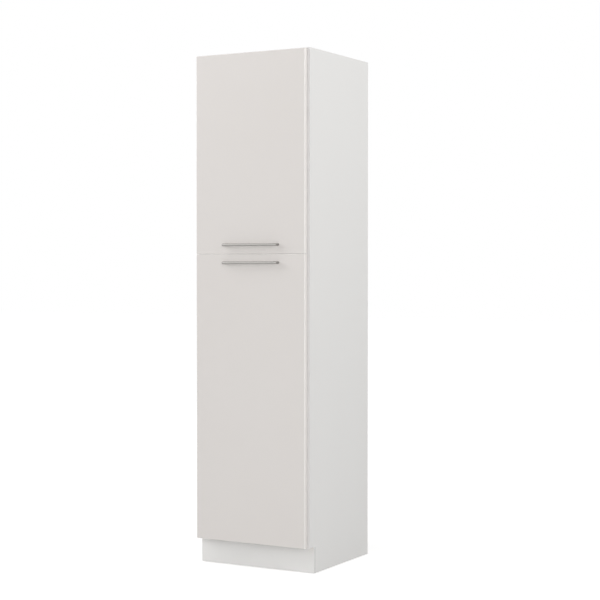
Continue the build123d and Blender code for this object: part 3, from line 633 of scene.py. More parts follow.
class Workpiece:
    """A primitive that is shaped into a piece with Blender's own operators."""

    def __init__(self, name: str) -> None:
        """Takes over the primitive just added, and moves its place into its mesh.

        Args:
            name: The piece's name.
        """
        bpy.ops.object.transform_apply(location=True, rotation=True, scale=True)
        self.piece = bpy.context.object
        self.piece.name = name
        self.piece.data.name = name

    @classmethod
    def block(cls, name: str, low: Spot, high: Spot) -> "Workpiece":
        """Starts from a block.

        Args:
            name: The piece's name.
            low: Its lowest corner.
            high: The opposite corner.

        Returns:
            The block.
        """
        release()
        middle = [(a + b) / 2 for a, b in zip(low, high)]
        size = [b - a for a, b in zip(low, high)]
        bpy.ops.mesh.primitive_cube_add(size=1.0, location=middle, scale=size)
        return cls(name)

    @classmethod
    def rod(cls, name: str, start: Spot, end: Spot, radius: float, sides: Sides) -> "Workpiece":
        """Starts from a round rod.

        Args:
            name: The piece's name.
            start: The middle of one end.
            end: The middle of the other end.
            radius: Its radius.
            sides: How many sides it has.

        Returns:
            The rod.
        """
        release()
        run = Vector(end) - Vector(start)
        bpy.ops.mesh.primitive_cylinder_add(
            vertices=sides,
            radius=radius,
            depth=run.length,
            location=(Vector(start) + Vector(end)) / 2,
            rotation=run.to_track_quat("Z", "Y").to_euler(),
        )
        return cls(name)

    def alone(self) -> None:
        """Selects this piece and no other, in object mode."""
        release()
        self.piece.select_set(True)
        bpy.context.view_layer.objects.active = self.piece

    def open(self, element: str, action: str) -> bmesh.types.BMesh:
        """Opens this piece alone in edit mode.

        Args:
            element: What is selected from now on, FACE or EDGE.
            action: SELECT for all of the mesh at first, DESELECT for none.

        Returns:
            The mesh under edit.
        """
        if self.piece.mode != "EDIT":
            self.alone()
            bpy.ops.object.mode_set(mode="EDIT")
        bpy.ops.mesh.select_mode(type=element)
        bpy.ops.mesh.select_all(action=action)
        return bmesh.from_edit_mesh(self.piece.data)

    def pick_face(self, looks: Spot) -> None:
        """Selects the flat face that looks one way.

        Args:
            looks: The way it looks.
        """
        for face in self.open("FACE", "DESELECT").faces:
            face.select_set(face.normal.dot(Vector(looks)) > FACING)
        bmesh.update_edit_mesh(self.piece.data)

    def round_off(self, test: Test, width: float, steps: int) -> None:
        """Rounds edges.

        Args:
            test: Takes an edge's two ends and passes those to round.
            width: How far the rounding reaches.
            steps: How many faces it has.
        """
        for edge in self.open("EDGE", "DESELECT").edges:
            edge.select_set(test(edge.verts[0].co, edge.verts[1].co))
        bmesh.update_edit_mesh(self.piece.data)
        bpy.ops.mesh.bevel(
            offset=width, offset_type="OFFSET", segments=steps, profile=0.5, affect="EDGES"
        )

    def extrude(self, by: Spot) -> None:
        """Draws the selection out by a distance along each axis."""
        bpy.ops.mesh.extrude_region_move(TRANSFORM_OT_translate={"value": tuple(by)})

    def inset(self, by: float, sink: float = 0.0) -> None:
        """Insets the selected faces and sinks them by a depth."""
        bpy.ops.mesh.inset(thickness=by, depth=-sink)

    def modify(self, kind: str, settings: Settings) -> None:
        """Adds a modifier and applies it.

        Args:
            kind: The modifier's type.
            settings: Its properties by their names.
        """
        self.alone()
        modifier = self.piece.modifiers.new(kind.title(), kind)
        for key, value in settings.items():
            setattr(modifier, key, value)
        bpy.ops.object.modifier_apply(modifier=modifier.name)

    def ease(self, width: float) -> None:
        """Takes the sharpness off every edge, as pressing or tumbling does.

        Args:
            width: How far it reaches.
        """
        sharp = math.radians(40)
        limits = {"limit_method": "ANGLE", "angle_limit": sharp}
        self.modify("BEVEL", {"width": width, "segments": 2, **limits})

    def cut(self, *tools: "Workpiece", operation: str = "DIFFERENCE") -> None:
        """Cuts other pieces out of this one, and throws them away.

        Args:
            tools: The other pieces.
            operation: DIFFERENCE, or UNION to make them one solid.
        """
        for tool in tools:
            how = {"object": tool.piece, "operation": operation, "solver": "EXACT"}
            self.modify("BOOLEAN", how)
            bpy.data.objects.remove(tool.piece)

    def weld(self, *others: "Workpiece") -> None:
        """Makes other pieces one solid with this one."""
        self.cut(*others, operation="UNION")

    def drill(self, radius: float, *lines: tuple[Spot, Spot]) -> None:
        """Drills a round hole of one radius along each line."""
        self.cut(*(Workpiece.rod("hole", *line, radius, Sides.HOLE) for line in lines))

    def spread(self, name: str, places: Sequence[Matrix]) -> "Workpiece":
        """Copies the piece to each place as one piece, and throws itself away.

        Args:
            name: The name of all the copies together.
            places: Where each goes, from where this one is.

        Returns:
            The copies.
        """
        release()
        copies = []
        for place in places:
            twin = object.__new__(Workpiece)
            twin.piece = self.piece.copy()
            twin.piece.data = self.piece.data.copy()
            twin.piece.data.transform(place)
            bpy.context.scene.collection.objects.link(twin.piece)
            copies.append(twin)
        bpy.data.objects.remove(self.piece)
        copies[0].piece.name = name
        copies[0].piece.data.name = name
        return joined(copies)

    def deliver(self, body: str, finishes: Finishes, slot: str, node: str) -> None:
        """Finishes the piece and hands it to its body.

        Args:
            body: The body it moves with.
            finishes: The finishes by the record's slot names.
            slot: The slot that it takes its finish from.
            node: The node that it replaces.
        """
        self.open("FACE", "SELECT")
        bpy.ops.mesh.remove_doubles(threshold=1e-6)
        bpy.ops.mesh.normals_make_consistent(inside=False)
        self.alone()
        bpy.ops.object.shade_smooth_by_angle(angle=math.radians(35))
        self.modify("WEIGHTED_NORMAL", {"keep_sharp": True, "weight": 100})
        self.piece.data.materials.clear()
        self.piece.data.materials.append(finishes[slot])
        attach(self.piece, body)
        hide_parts(node)
        log.info("%s: %d faces on %s", self.piece.name, len(self.piece.data.polygons), body)


def joined(pieces: Sequence[Workpiece]) -> Workpiece:
    """Makes several pieces one object.

    Args:
        pieces: The pieces.

    Returns:
        The first of them, which keeps its name.
    """
    pieces[0].alone()
    for piece in pieces[1:]:
        piece.piece.select_set(True)
    if len(pieces) > 1:
        bpy.ops.object.join()
    return pieces[0]


@dataclass(frozen=True)
class Screw:
    """A screw, or a nail-in glide, that stands at the origin with its head up.

    The head's dome, the point and the cross are shares of the screw's own sizes.
    """

    shank_radius: float
    length: float
    head_radius: float
    head: float
    tip: float = 2 * MM
    crossed: bool = True
    point: float = 0.7
    dome: float = 0.55
    cross: tuple[float, float, float] = (0.6, 0.13, 0.35)
    narrowing: float = 0.5

    def shape(self) -> Workpiece:
        """Models one.

        Returns:
            The screw, with the seat of its head at height 0.
        """
        screw = Workpiece.rod("screw", (0, 0, 0), (0, 0, self.head), self.head_radius, Sides.PEG)
        screw.pick_face(DOWN)
        screw.inset(self.head_radius - self.shank_radius)
        screw.extrude((0, 0, self.tip - self.length))
        screw.inset(self.point * self.shank_radius, -self.tip)
        screw.round_off(over(Axis.Z, self.head), self.dome * self.head, steps=4)
        if self.crossed:
            wide, narrow = (share * self.head_radius for share in self.cross[:2])
            deep = self.cross[2] * self.head
            for x, y in ((wide, narrow), (narrow, wide)):
                slot = Workpiece.block("slot", (-x, -y, deep), (x, y, 2 * self.head))
                slot.pick_face(DOWN)
                bpy.ops.transform.resize(value=(self.narrowing, self.narrowing, 1))
                screw.cut(slot)
        return screw

    def drive(self, node: str, body: str, places: Sequence[Matrix], finishes: Finishes) -> None:
        """Drives one at each place and delivers them as one piece.

        Args:
            node: The node that they replace.
            body: The body that they move with.
            places: Where each goes.
            finishes: The finishes by the record's slot names.
        """
        screws = self.shape().spread(f"{node}_crossed", places)
        screws.deliver(body, finishes, ZINC, node)


@dataclass
class Door:
    """One slab door: its panel with rounded front edges and its buffers."""

    which: Which
    rounding: float = 3 * MM
    back_edge: float = 0.4 * MM
    cup_x: float = 265.5 * MM
    cup_bore: tuple[float, float] = (17.55 * MM, 11.55 * MM)
    recess: tuple[float, float] = (5 * MM, 3 * MM)
    handle_x: tuple[float, float] = (-128.2 * MM, 149.8 * MM)
    buffer_dome: float = 1.4 * MM

    def build(self, finishes: Finishes) -> None:
        """Builds the panel and the buffers.

        Args:
            finishes: The finishes by the record's slot names.
        """
        name = self.which.value
        slot, node = "foil_wrapped_door", f"{name}_door_panel"
        low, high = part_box(node)
        slab = Workpiece.block(f"{name}_door_slab", low, high)
        slab.round_off(under(Axis.Y, low.y), self.rounding, steps=8)
        slab.round_off(over(Axis.Y, high.y), self.back_edge, steps=2)
        handle = sum(corner.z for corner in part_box(f"{name}_handle")) / 2
        bores = [
            (self.cup_x, z, *self.cup_bore, Sides.BORE)
            for z in cluster_heights(f"{name}_hinge_cups")
        ]
        bores += [(x, handle, *self.recess, Sides.PEG) for x in self.handle_x]
        for x, z, radius, depth, sides in bores:
            start, end = (x, high.y - depth, z), (x, high.y + 2 * PAST, z)
            slab.cut(Workpiece.rod("bore", start, end, radius, sides))
        finish = FoilWrappedDoor(f"foil_wrapped_mdf_{name}", low, high).build()
        slab.deliver(f"{name}_door", {slot: finish}, slot, node)
        self._buffers(finishes)

    def _buffers(self, finishes: Finishes) -> None:
        """Builds the two domed buffers on the door's back.

        Args:
            finishes: The finishes by the record's slot names.
        """
        node = f"{self.which.value}_door_buffers"
        low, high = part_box(node)
        x, radius = (low.x + high.x) / 2, (high.x - low.x) / 2
        domes = []
        for z in (low.z + radius, high.z - radius):
            ends = (x, low.y, z), (x, high.y, z)
            dome = Workpiece.rod(f"{node}_domed", *ends, radius, Sides.PEG)
            dome.round_off(over(Axis.Y, high.y), self.buffer_dome, steps=5)
            domes.append(dome)
        joined(domes).deliver(f"{self.which.value}_door", finishes, "clear_buffer", node)


@dataclass
class BarHandle:
    """A round bar bent back to the door at both ends, and the two screws in its feet."""

    which: Which
    radius: float = 6 * MM
    bend: float = 9 * MM
    bend_steps: int = 13
    foot_edge: float = 0.5 * MM
    screw: float = 1.95 * MM
    screw_head: float = 2.2 * MM

    def build(self, finishes: Finishes) -> None:
        """Sweeps the bar from foot to foot, closes its ends and screws it on.

        Args:
            finishes: The finishes by the record's slot names.
        """
        name = self.which.value
        low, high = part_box(f"{name}_handle")
        left, right = low.x + self.radius, high.x - self.radius
        z, door = (low.z + high.z) / 2, high.y
        turn_y = low.y + self.radius + self.bend
        release()
        bpy.ops.mesh.primitive_circle_add(
            vertices=Sides.BAR,
            radius=self.radius,
            fill_type="NOTHING",
            location=(left, door, z),
            rotation=Vector((0, -1, 0)).to_track_quat("Z", "Y").to_euler(),
        )
        bar = Workpiece(f"{name}_bar_handle")
        bar.open("EDGE", "SELECT")
        bar.extrude((0, turn_y - door, 0))
        runs = (
            (left + self.bend, (right - left - 2 * self.bend, 0, 0)),
            (right - self.bend, (0, door - turn_y, 0)),
        )
        for x, run in runs:
            # The operator sweeps the other way round than the right-hand rule.
            bpy.ops.mesh.spin(
                steps=self.bend_steps, angle=-math.pi / 2, center=(x, turn_y, z), axis=(0, 0, 1)
            )
            bar.extrude(run)
        bpy.ops.mesh.select_all(action="SELECT")
        bpy.ops.mesh.fill_holes(sides=0)
        bar.round_off(over(Axis.Y, door), self.foot_edge, steps=2)
        bar.deliver(f"{name}_door", finishes, "brushed_steel_bar", f"{name}_handle")
        self._screw_on(finishes)

    def _screw_on(self, finishes: Finishes) -> None:
        """Drives the two screws into the feet from the door's back.

        Args:
            finishes: The finishes by the record's slot names.
        """
        name = self.which.value
        low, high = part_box(f"{name}_handle_screws")
        radius, z = (high.z - low.z) / 2, (low.z + high.z) / 2
        seat = high.y - self.screw_head
        places = [placed((x, seat, z), REARWARD) for x in (low.x + radius, high.x - radius)]
        screw = Screw(self.screw, seat - low.y, radius, self.screw_head)
        screw.drive(f"{name}_handle_screws", f"{name}_door", places, finishes)


@dataclass
class EdgingStrips:
    """Thin strips glued over the boards' front edges, with eased corners."""

    easing: float = 0.4 * MM
    board: float = 18 * MM
    strip: float = 1 * MM
    hairline: float = 0.05 * MM

    def build(self, finishes: Finishes) -> None:
        """Builds the six strips as one piece.

        Args:
            finishes: The finishes by the record's slot names.
        """
        low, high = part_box("front_edging")
        inner, back = high.x - self.board, low.y + self.strip
        butt = inner - self.hairline
        spans = [(low, (-inner, back, high.z)), ((inner, low.y, low.z), (high.x, back, high.z))]
        for node in ("bottom_panel", "fixed_shelf", "top_panel"):
            bottom, top = (corner.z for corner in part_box(node))
            spans.append(((-butt, low.y, bottom), (butt, back, top)))
        near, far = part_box("adjustable_shelf")
        spans.append(((near.x, near.y - self.strip, near.z), (far.x, near.y, far.z)))
        strips = []
        for corners in spans:
            strip = Workpiece.block("edging_strips", *corners)
            strip.round_off(under(Axis.Y, corners[0][Axis.Y]), self.easing, steps=3)
            strips.append(strip)
        joined(strips).deliver("carcass", finishes, "edging_strip", "front_edging")


def cluster_heights(node: str) -> list[float]:
    """Finds the heights at which a node's solids repeat, from lowest to highest.

    Args:
        node: A node whose solids stand one above the other.

    Returns:
        The middle height of each.
    """
    heights = sorted(vertex.co.z for vertex in bpy.data.objects[node].data.vertices)
    groups = [[heights[0]]]
    for z in heights[1:]:
        if z - groups[-1][-1] > CLUSTER_GAP:
            groups.append([])
        groups[-1].append(z)
    return [(group[0] + group[-1]) / 2 for group in groups]


def dress(node: str, finish: bpy.types.Material) -> None:
    """Gives a node that keeps its own mesh a better material.

    Args:
        node: The node.
        finish: The material.
    """
    for held in bpy.data.objects[node].material_slots:
        held.material = finish
    log.info("%s: keeps its mesh, in %s", node, finish.name)


@dataclass
class Boards:
    """The carcass boards, which keep their own meshes and get their finishes."""

    sides: tuple[str, ...] = ("side_panel_left", "side_panel_right")
    floors: tuple[str, ...] = ("bottom_panel", "fixed_shelf", "top_panel", "adjustable_shelf")
    rails: tuple[str, ...] = (
        "rear_rail_top",
        "rear_rail_middle",
        "rear_rail_bottom",
        "appliance_front_rail",
        "plinth_board",
    )
    # Painted light: the plinth's faces are painted lighter than the other boards' white, to make
    # up for the shade under the doors.
    plinth_painted_light_tone: str = "#f0efed"
    vent_depth: float = 14 * MM

    def build(self) -> None:
        """Gives each board the finish that fits its faces."""
        for through, nodes in ((Axis.X, self.sides), (Axis.Z, self.floors), (Axis.Y, self.rails)):
            for node in nodes:
                low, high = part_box(node)
                banding = ()
                # The plinth is banded on its ends and its vent edge, and its faces are painted
                # lighter as painted light.
                if node == "plinth_board":
                    ends = ((Axis.X, low.x), (Axis.X, high.x))
                    tops = ((Axis.Z, high.z), (Axis.Z, high.z - self.vent_depth))
                    banding = (ends + tops, self.plinth_painted_light_tone)
                name, faces = f"faced_chipboard_{node}", (low[through], high[through])
                dress(node, FacedChipboard(name, through, faces, *banding).build())
        back_low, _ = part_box("upper_back_panel")
        dress("upper_back_panel", LacqueredHardboard("lacquered_hardboard", back_low.y).build())


@dataclass(frozen=True)
class Softbox:
    """A square soft lamp, placed by its angles round the unit: 0 is in front, 90 right."""

    name: str
    azimuth: float
    elevation: float
    distance: float
    size: float
    power: float
    aim_height: float = 1.5

    def hang(self) -> None:
        """Hangs the lamp, looking at the unit."""
        turn, rise = math.radians(self.azimuth), math.radians(self.elevation)
        level = self.distance * math.cos(rise)
        height = self.distance * math.sin(rise)
        away = Vector((level * math.sin(turn), -level * math.cos(turn), height))
        data = bpy.data.lights.new(self.name, "AREA")
        data.shape = "SQUARE"
        data.size = self.size
        data.energy = self.power
        lamp = bpy.data.objects.new(self.name, data)
        lamp.location = Vector((0, 0, self.aim_height)) + away
        lamp.rotation_mode = "QUATERNION"
        lamp.rotation_quaternion = (-away).to_track_quat("-Z", "Y")
        bpy.context.scene.collection.objects.link(lamp)


@dataclass
class Studio:
    """A plain pale room with soft lamps and the camera of the photograph."""

    lens: float = 89.54
    sensor: float = 36.0
    view_end: float = 200.0
    stand: tuple[float, float, float] = (3.5177, -6.0890, 1.3783)
    down: float = 1.2363
    turned: float = 29.272
    ambient: float = 0.31
    lamps: tuple[Softbox, ...] = (
        Softbox("camera_side_softbox", 35, 6, 8.0, 4.0, 225.0),
        Softbox("right_softbox", 90, 30, 5.0, 3.0, 69.0),
        Softbox("high_right_softbox", 108.4, 36, 3.91, 3.0, 17.0, 1.3),
        Softbox("left_softbox", -60, 20, 8.0, 4.0, 161.0),
        Softbox("high_left_softbox", -41.3, 40, 4.35, 3.0, 33.0, 1.4),
        Softbox("back_left_softbox", -125, 20, 7.0, 3.0, 120.0),
    )
    floor_size: float = 60.0
    floor_tone: str = "#dadada"
    glow_near: float = 0.52
    glow_far: float = 0.8
    glow_reach: float = 9.0
    footprint_x: float = 0.29
    footprint_y: tuple[float, float] = (-0.21, 0.31)

    def build(self) -> None:
        """Sets up the view, the camera, the lamps, the world and the floor."""
        bpy.context.scene.view_settings.view_transform = "Standard"
        self._camera()
        for lamp in self.lamps:
            lamp.hang()
        self._world()
        self._floor()

    def _camera(self) -> None:
        """Stands the camera where the photograph was taken from."""
        data = bpy.data.cameras.new("camera")
        data.lens = self.lens
        data.sensor_width = self.sensor
        data.clip_end = self.view_end
        camera = bpy.data.objects.new("camera", data)
        camera.location = self.stand
        camera.rotation_euler = (math.radians(90 - self.down), 0, math.radians(self.turned))
        bpy.context.scene.collection.objects.link(camera)
        bpy.context.scene.camera = camera

    def _seen(self, tree: bpy.types.NodeTree) -> Socket:
        """Marks the rays that show the background.

        Args:
            tree: The node tree it goes into.

        Returns:
            1 for camera, glossy and transmission rays, 0 for the others.
        """
        rays = add_node(tree, "LightPath")
        seen = rays["Is Camera Ray"]
        for kind in ("Is Glossy Ray", "Is Transmission Ray"):
            seen = add_node(tree, "Math", {"operation": "MAXIMUM"}, {0: seen, 1: rays[kind]})[0]
        return seen

    def _outside(self, r: Recipe) -> Socket:
        """Marks the floor beside the unit.

        Args:
            r: The floor's material under work.

        Returns:
            0 on the floor under the unit, 1 beside it.
        """
        middle_y = sum(self.footprint_y) / 2
        half_y = self.footprint_y[1] - middle_y
        scale, shift = (1 / self.footprint_x, 1 / half_y, 0), (0, -middle_y / half_y, 0)
        fitted = {"operation": "MULTIPLY_ADD", 1: scale, 2: shift}
        spot = r.add("VectorMath", fitted, {0: r.place})[0]
        size = r.add("VectorMath", {"operation": "ABSOLUTE"}, {0: spot})[0]
        axes = r.add("SeparateXYZ", links={0: size})
        far = r.add("Math", {"operation": "MAXIMUM"}, {0: axes[Axis.X], 1: axes[Axis.Y]})[0]
        return r.add("Math", {"operation": "GREATER_THAN", 1: 1.0}, {0: far})[0]

    def _world(self) -> None:
        """Makes the world white to look at and dimmer as a light."""
        world = bpy.data.worlds.new("pale_room")
        bpy.context.scene.world = world
        world.use_nodes = True
        tree = world.node_tree
        tree.nodes.clear()
        dimmed = {"To Min": self.ambient, "To Max": 1.0}
        level = add_node(tree, "MapRange", dimmed, {"Value": self._seen(tree)})[0]
        back = add_node(tree, "Background", {"Color": linear(WHITE)}, {"Strength": level})[0]
        add_node(tree, "OutputWorld", links={"Surface": back})

    def _floor(self) -> None:
        """Lays a white floor that keeps a faint shadow of the unit."""
        release()
        bpy.ops.mesh.primitive_plane_add(size=self.floor_size)
        floor = bpy.context.object
        floor.name = "studio_floor"
        r = Recipe("white_studio_floor")
        matte = r.add("BsdfDiffuse", {"Color": linear(self.floor_tone)})[0]
        away = r.add("VectorMath", {"operation": "LENGTH"}, {0: r.place})["Value"]
        rise = {"From Max": self.glow_reach, "To Min": self.glow_near, "To Max": self.glow_far}
        level = r.add("MapRange", rise, {"Value": away})[0]
        for share in (self._seen(r.tree), self._outside(r)):
            level = r.add("Math", {"operation": "MULTIPLY"}, {0: level, 1: share})[0]
        glow = r.add("Emission", {"Color": linear(WHITE)}, {"Strength": level})[0]
        whole = r.add("AddShader", links={0: matte, 1: glow})[0]
        r.add("OutputMaterial", links={"Surface": whole})
        floor.data.materials.append(r.material)


@dataclass
class ConcealedHinges:
    """The concealed hinges of both doors.

    Each has a drawn steel cup let into the door with a pressed wing, a mounting plate
    on the side panel, an arm that clips over the plate's rail, and a pair of link
    plates on the pin in the arm's nose. Patterns are made at height 0.
    """

    cup_x: float = 265.5 * MM
    cup_radius: float = 17.5 * MM
    cup_depth: float = 11.5 * MM
    cup_bend: float = 2 * MM
    cup_easing: float = 0.2 * MM
    wall: float = 1 * MM
    wing_x: float = 256 * MM
    wing_half: tuple[float, float] = (8.5 * MM, 30 * MM)
    wing: float = 1.2 * MM
    wing_corner: float = 4 * MM
    cup_screw_z: float = 22.5 * MM
    cup_hole: float = 1.75 * MM
    cup_screw: Screw = Screw(1.7 * MM, 13.2 * MM, 3.5 * MM, 2 * MM)
    relief: float = 1.5 * MM
    relief_half: float = 10.3 * MM
    pivot: tuple[float, float] = (270 * MM, -267.5 * MM)
    eye: float = 3.2 * MM
    pin: float = 1.5 * MM
    pin_hole: float = 1.6 * MM
    nose_half: float = 3 * MM
    arm_half: float = 7 * MM
    arm_x: tuple[float, float] = (263 * MM, 280 * MM)
    arm_length: float = 50 * MM
    arm_bend: float = 1.5 * MM
    arm_easing: float = 0.25 * MM
    shoulder_y: float = -248.5 * MM
    nose_y: float = -258 * MM
    sheet: float = 1.5 * MM
    channel_y: float = -246.5 * MM
    channel_bend: float = 0.8 * MM
    arm_screw_y: tuple[float, float] = (-232.5 * MM, -206.5 * MM)
    arm_hole: float = 2.05 * MM
    arm_screw: Screw = Screw(2 * MM, 5 * MM, 3.5 * MM, MM)
    link: tuple[float, float, float] = (28.5 * MM, 5 * MM, 2 * MM)
    link_z: float = 7.3 * MM
    link_turn: float = 11.0
    link_easing: float = 0.3 * MM
    rivet: float = 1.9 * MM
    rivet_head: float = 0.4 * MM
    rivet_dome: float = 0.35 * MM
    plate: float = 1.7 * MM
    plate_y: float = -221.5 * MM
    plate_wing: tuple[float, float] = (9 * MM, 24 * MM)
    plate_body: tuple[float, float, float] = (22 * MM, 24 * MM, 9 * MM)
    plate_corner: float = 3 * MM
    plate_hole: float = 2.55 * MM
    plate_easing: float = 0.25 * MM
    plate_screw_z: float = 16 * MM
    plate_screw: Screw = Screw(2.5 * MM, 12 * MM, 4.5 * MM, 1.6 * MM)
    rail_x: float = 268 * MM
    rail_half: float = 5.2 * MM
    rail_inset: float = 2 * MM
    rail_edge: float = 1 * MM
    rail_overlap: float = 0.5 * MM

    @property
    def back(self) -> float:
        """The depth of the doors' backs."""
        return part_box("lower_door_panel")[1].y

    @property
    def face(self) -> float:
        """Where the right side panel's inner face stands."""
        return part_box("side_panel_right")[0].x

    def build(self, finishes: Finishes) -> None:
        """Builds every part of every hinge.

        Args:
            finishes: The finishes by the record's slot names.
        """
        everywhere = []
        for which in Which:
            name = which.value
            heights = cluster_heights(f"{name}_hinge_cups")
            everywhere += heights
            sets = (
                (self._cup(), f"{name}_hinge_cups", f"{name}_door"),
                (self._plate(), f"{name}_hinge_plates", "carcass"),
                (self._arm(), f"{name}_hinge_arms", "carcass"),
                (self._links(), f"{name}_hinge_links", f"{name}_link_set"),
            )
            for pattern, node, body in sets:
                whole = pattern.spread(f"{node}_pressed", raised(heights))
                whole.deliver(body, finishes, STEEL, node)
            spots = [
                placed((self.wing_x, self.back + self.wing, z + step), REARWARD)
                for z in heights
                for step in (-self.cup_screw_z, self.cup_screw_z)
            ]
            self.cup_screw.drive(f"{name}_cup_screws", f"{name}_door", spots, finishes)
        plate_spots = [
            (self.face - self.plate, self.plate_y, z + step)
            for z in everywhere
            for step in (-self.plate_screw_z, self.plate_screw_z)
        ]
        arm_spots = [(self.arm_x[0], y, z) for z in everywhere for y in self.arm_screw_y]
        for node, screw, spots in (
            ("hinge_plate_screws", self.plate_screw, plate_spots),
            ("hinge_arm_screws", self.arm_screw, arm_spots),
        ):
            places = [placed(spot, (-1, 0, 0)) for spot in spots]
            screw.drive(node, "carcass", places, finishes)

    def _cup(self) -> Workpiece:
        """Draws one cup and presses its wing, rim relief and screw holes.

        Returns:
            The cup.
        """
        back, x, middle = self.back, self.cup_x, self.wing_x
        top, bottom = back + self.wing, back - self.cup_depth
        cup = Workpiece.rod("cup", (x, bottom, 0), (x, top, 0), self.cup_radius, Sides.CUP)
        cup.round_off(under(Axis.Y, bottom), self.cup_bend, steps=4)
        half_x, half_z = self.wing_half
        corners = (middle - half_x, back, -half_z), (middle + half_x, top, half_z)
        wing = Workpiece.block("wing", *corners)
        wing.round_off(along(Axis.Y), self.wing_corner, steps=6)
        cup.weld(wing)
        floor, out = bottom + self.wall, top + PAST
        inner = self.cup_radius - self.wall
        hollow = Workpiece.rod("hollow", (x, floor, 0), (x, out, 0), inner, Sides.CUP)
        hollow.round_off(under(Axis.Y, floor), self.cup_bend, steps=4)
        half, side = self.relief_half, x + self.cup_radius + PAST
        low_rim = Workpiece.block("low_rim", (x, back - self.relief, -half), (side, out, half))
        cup.cut(hollow, low_rim)
        for z in (-self.cup_screw_z, self.cup_screw_z):
            cup.drill(self.cup_hole, ((middle, back - PAST, z), (middle, out, z)))
        cup.ease(self.cup_easing)
        return cup

    def _plate(self) -> Workpiece:
        """Shapes one mounting plate with its wing and its raised rail.

        Returns:
            The plate.
        """
        face, skin, y = self.face, self.face - self.plate, self.plate_y
        half_y, half_z = self.plate_wing
        front, rear, half = self.plate_body
        plate = Workpiece.block("plate", (skin, y - half_y, -half_z), (face, y + half_y, half_z))
        # The ends are all but round: a full half circle would leave no edge between.
        plate.round_off(along(Axis.X), 0.95 * half_y, steps=8)
        body = Workpiece.block("body", (skin, y - front, -half), (face, y + rear, half))
        body.round_off(along(Axis.X), self.plate_corner, steps=4)
        rail = Workpiece.block(
            "rail",
            (self.rail_x, y - front + self.rail_inset, -self.rail_half),
            (skin + self.rail_overlap, y + rear - self.rail_inset, self.rail_half),
        )
        rail.round_off(under(Axis.X, self.rail_x), self.rail_edge, steps=3)
        plate.weld(body, rail)
        for z in (-self.plate_screw_z, self.plate_screw_z):
            plate.drill(self.plate_hole, ((skin - PAST, y, z), (face + PAST, y, z)))
        plate.ease(self.plate_easing)
        return plate

    def _arm(self) -> Workpiece:
        """Presses one arm: a channel that narrows to a nose rolled round the pin.

        Returns:
            The arm.
        """
        low_x, high_x = self.arm_x
        pivot_x, pivot_y = self.pivot
        half, rear = self.arm_half, self.shoulder_y + self.arm_length
        arm = Workpiece.block("arm", (low_x, self.shoulder_y, -half), (high_x, rear, half))
        arm.round_off(both(under(Axis.X, low_x), along(Axis.Y)), self.arm_bend, steps=4)
        arm.pick_face((0, -1, 0))
        arm.extrude((0, self.nose_y - self.shoulder_y, 0))
        narrow = 2 * self.nose_half / (high_x - low_x)
        fixed_x = (pivot_x - self.nose_half - low_x * narrow) / (1 - narrow)
        bpy.ops.transform.resize(value=(narrow, 1, 1), center_override=(fixed_x, 0, 0))
        arm.extrude((0, pivot_y - self.nose_y, 0))
        ends = (pivot_x, pivot_y, -half), (pivot_x, pivot_y, half)
        arm.weld(Workpiece.rod("eye", *ends, self.eye, Sides.DISC))
        inside, start = half - self.sheet, low_x + self.sheet
        corners = (start, self.channel_y, -inside), (high_x + PAST, rear + PAST, inside)
        channel = Workpiece.block("channel", *corners)
        channel.round_off(both(under(Axis.X, start), along(Axis.Y)), self.channel_bend, steps=2)
        arm.cut(channel)
        arm.drill(self.pin_hole, ((pivot_x, pivot_y, -2 * half), (pivot_x, pivot_y, 2 * half)))
        for y in self.arm_screw_y:
            arm.drill(self.arm_hole, ((low_x - PAST, y, 0), (low_x + 3 * PAST, y, 0)))
        arm.ease(self.arm_easing)
        return arm

    def _links(self) -> Workpiece:
        """Stamps one pair of link plates and rivets them on their pin.

        Returns:
            The links.
        """
        length, width, thick = self.link
        half, near, far = width / 2, self.link_z, self.link_z + thick
        sunk, top = far - self.rivet_head / 2, far + self.rivet_head
        shapes = []
        for side in (-1, 1):
            low, high = sorted((side * near, side * far))
            link = Workpiece.block("link", (-half, -half, low), (half, length + half, high))
            link.round_off(along(Axis.Z), 0.99 * half, steps=8)
            link.ease(self.link_easing)
            shapes.append(link)
            for y in (0, length):
                ends = (0, y, side * sunk), (0, y, side * top)
                rivet = Workpiece.rod("rivet", *ends, self.rivet, Sides.HOLE)
                rivet.round_off(
                    lambda a, b: min(abs(a.z), abs(b.z)) > top - TOUCH, self.rivet_dome, steps=3
                )
                shapes.append(rivet)
        shapes.append(Workpiece.rod("pin", (0, 0, -near), (0, 0, near), self.pin, Sides.HOLE))
        folded = Matrix.Rotation(math.radians(self.link_turn), 4, "Z")
        return joined(shapes).spread("links", [Matrix.Translation((*self.pivot, 0)) @ folded])


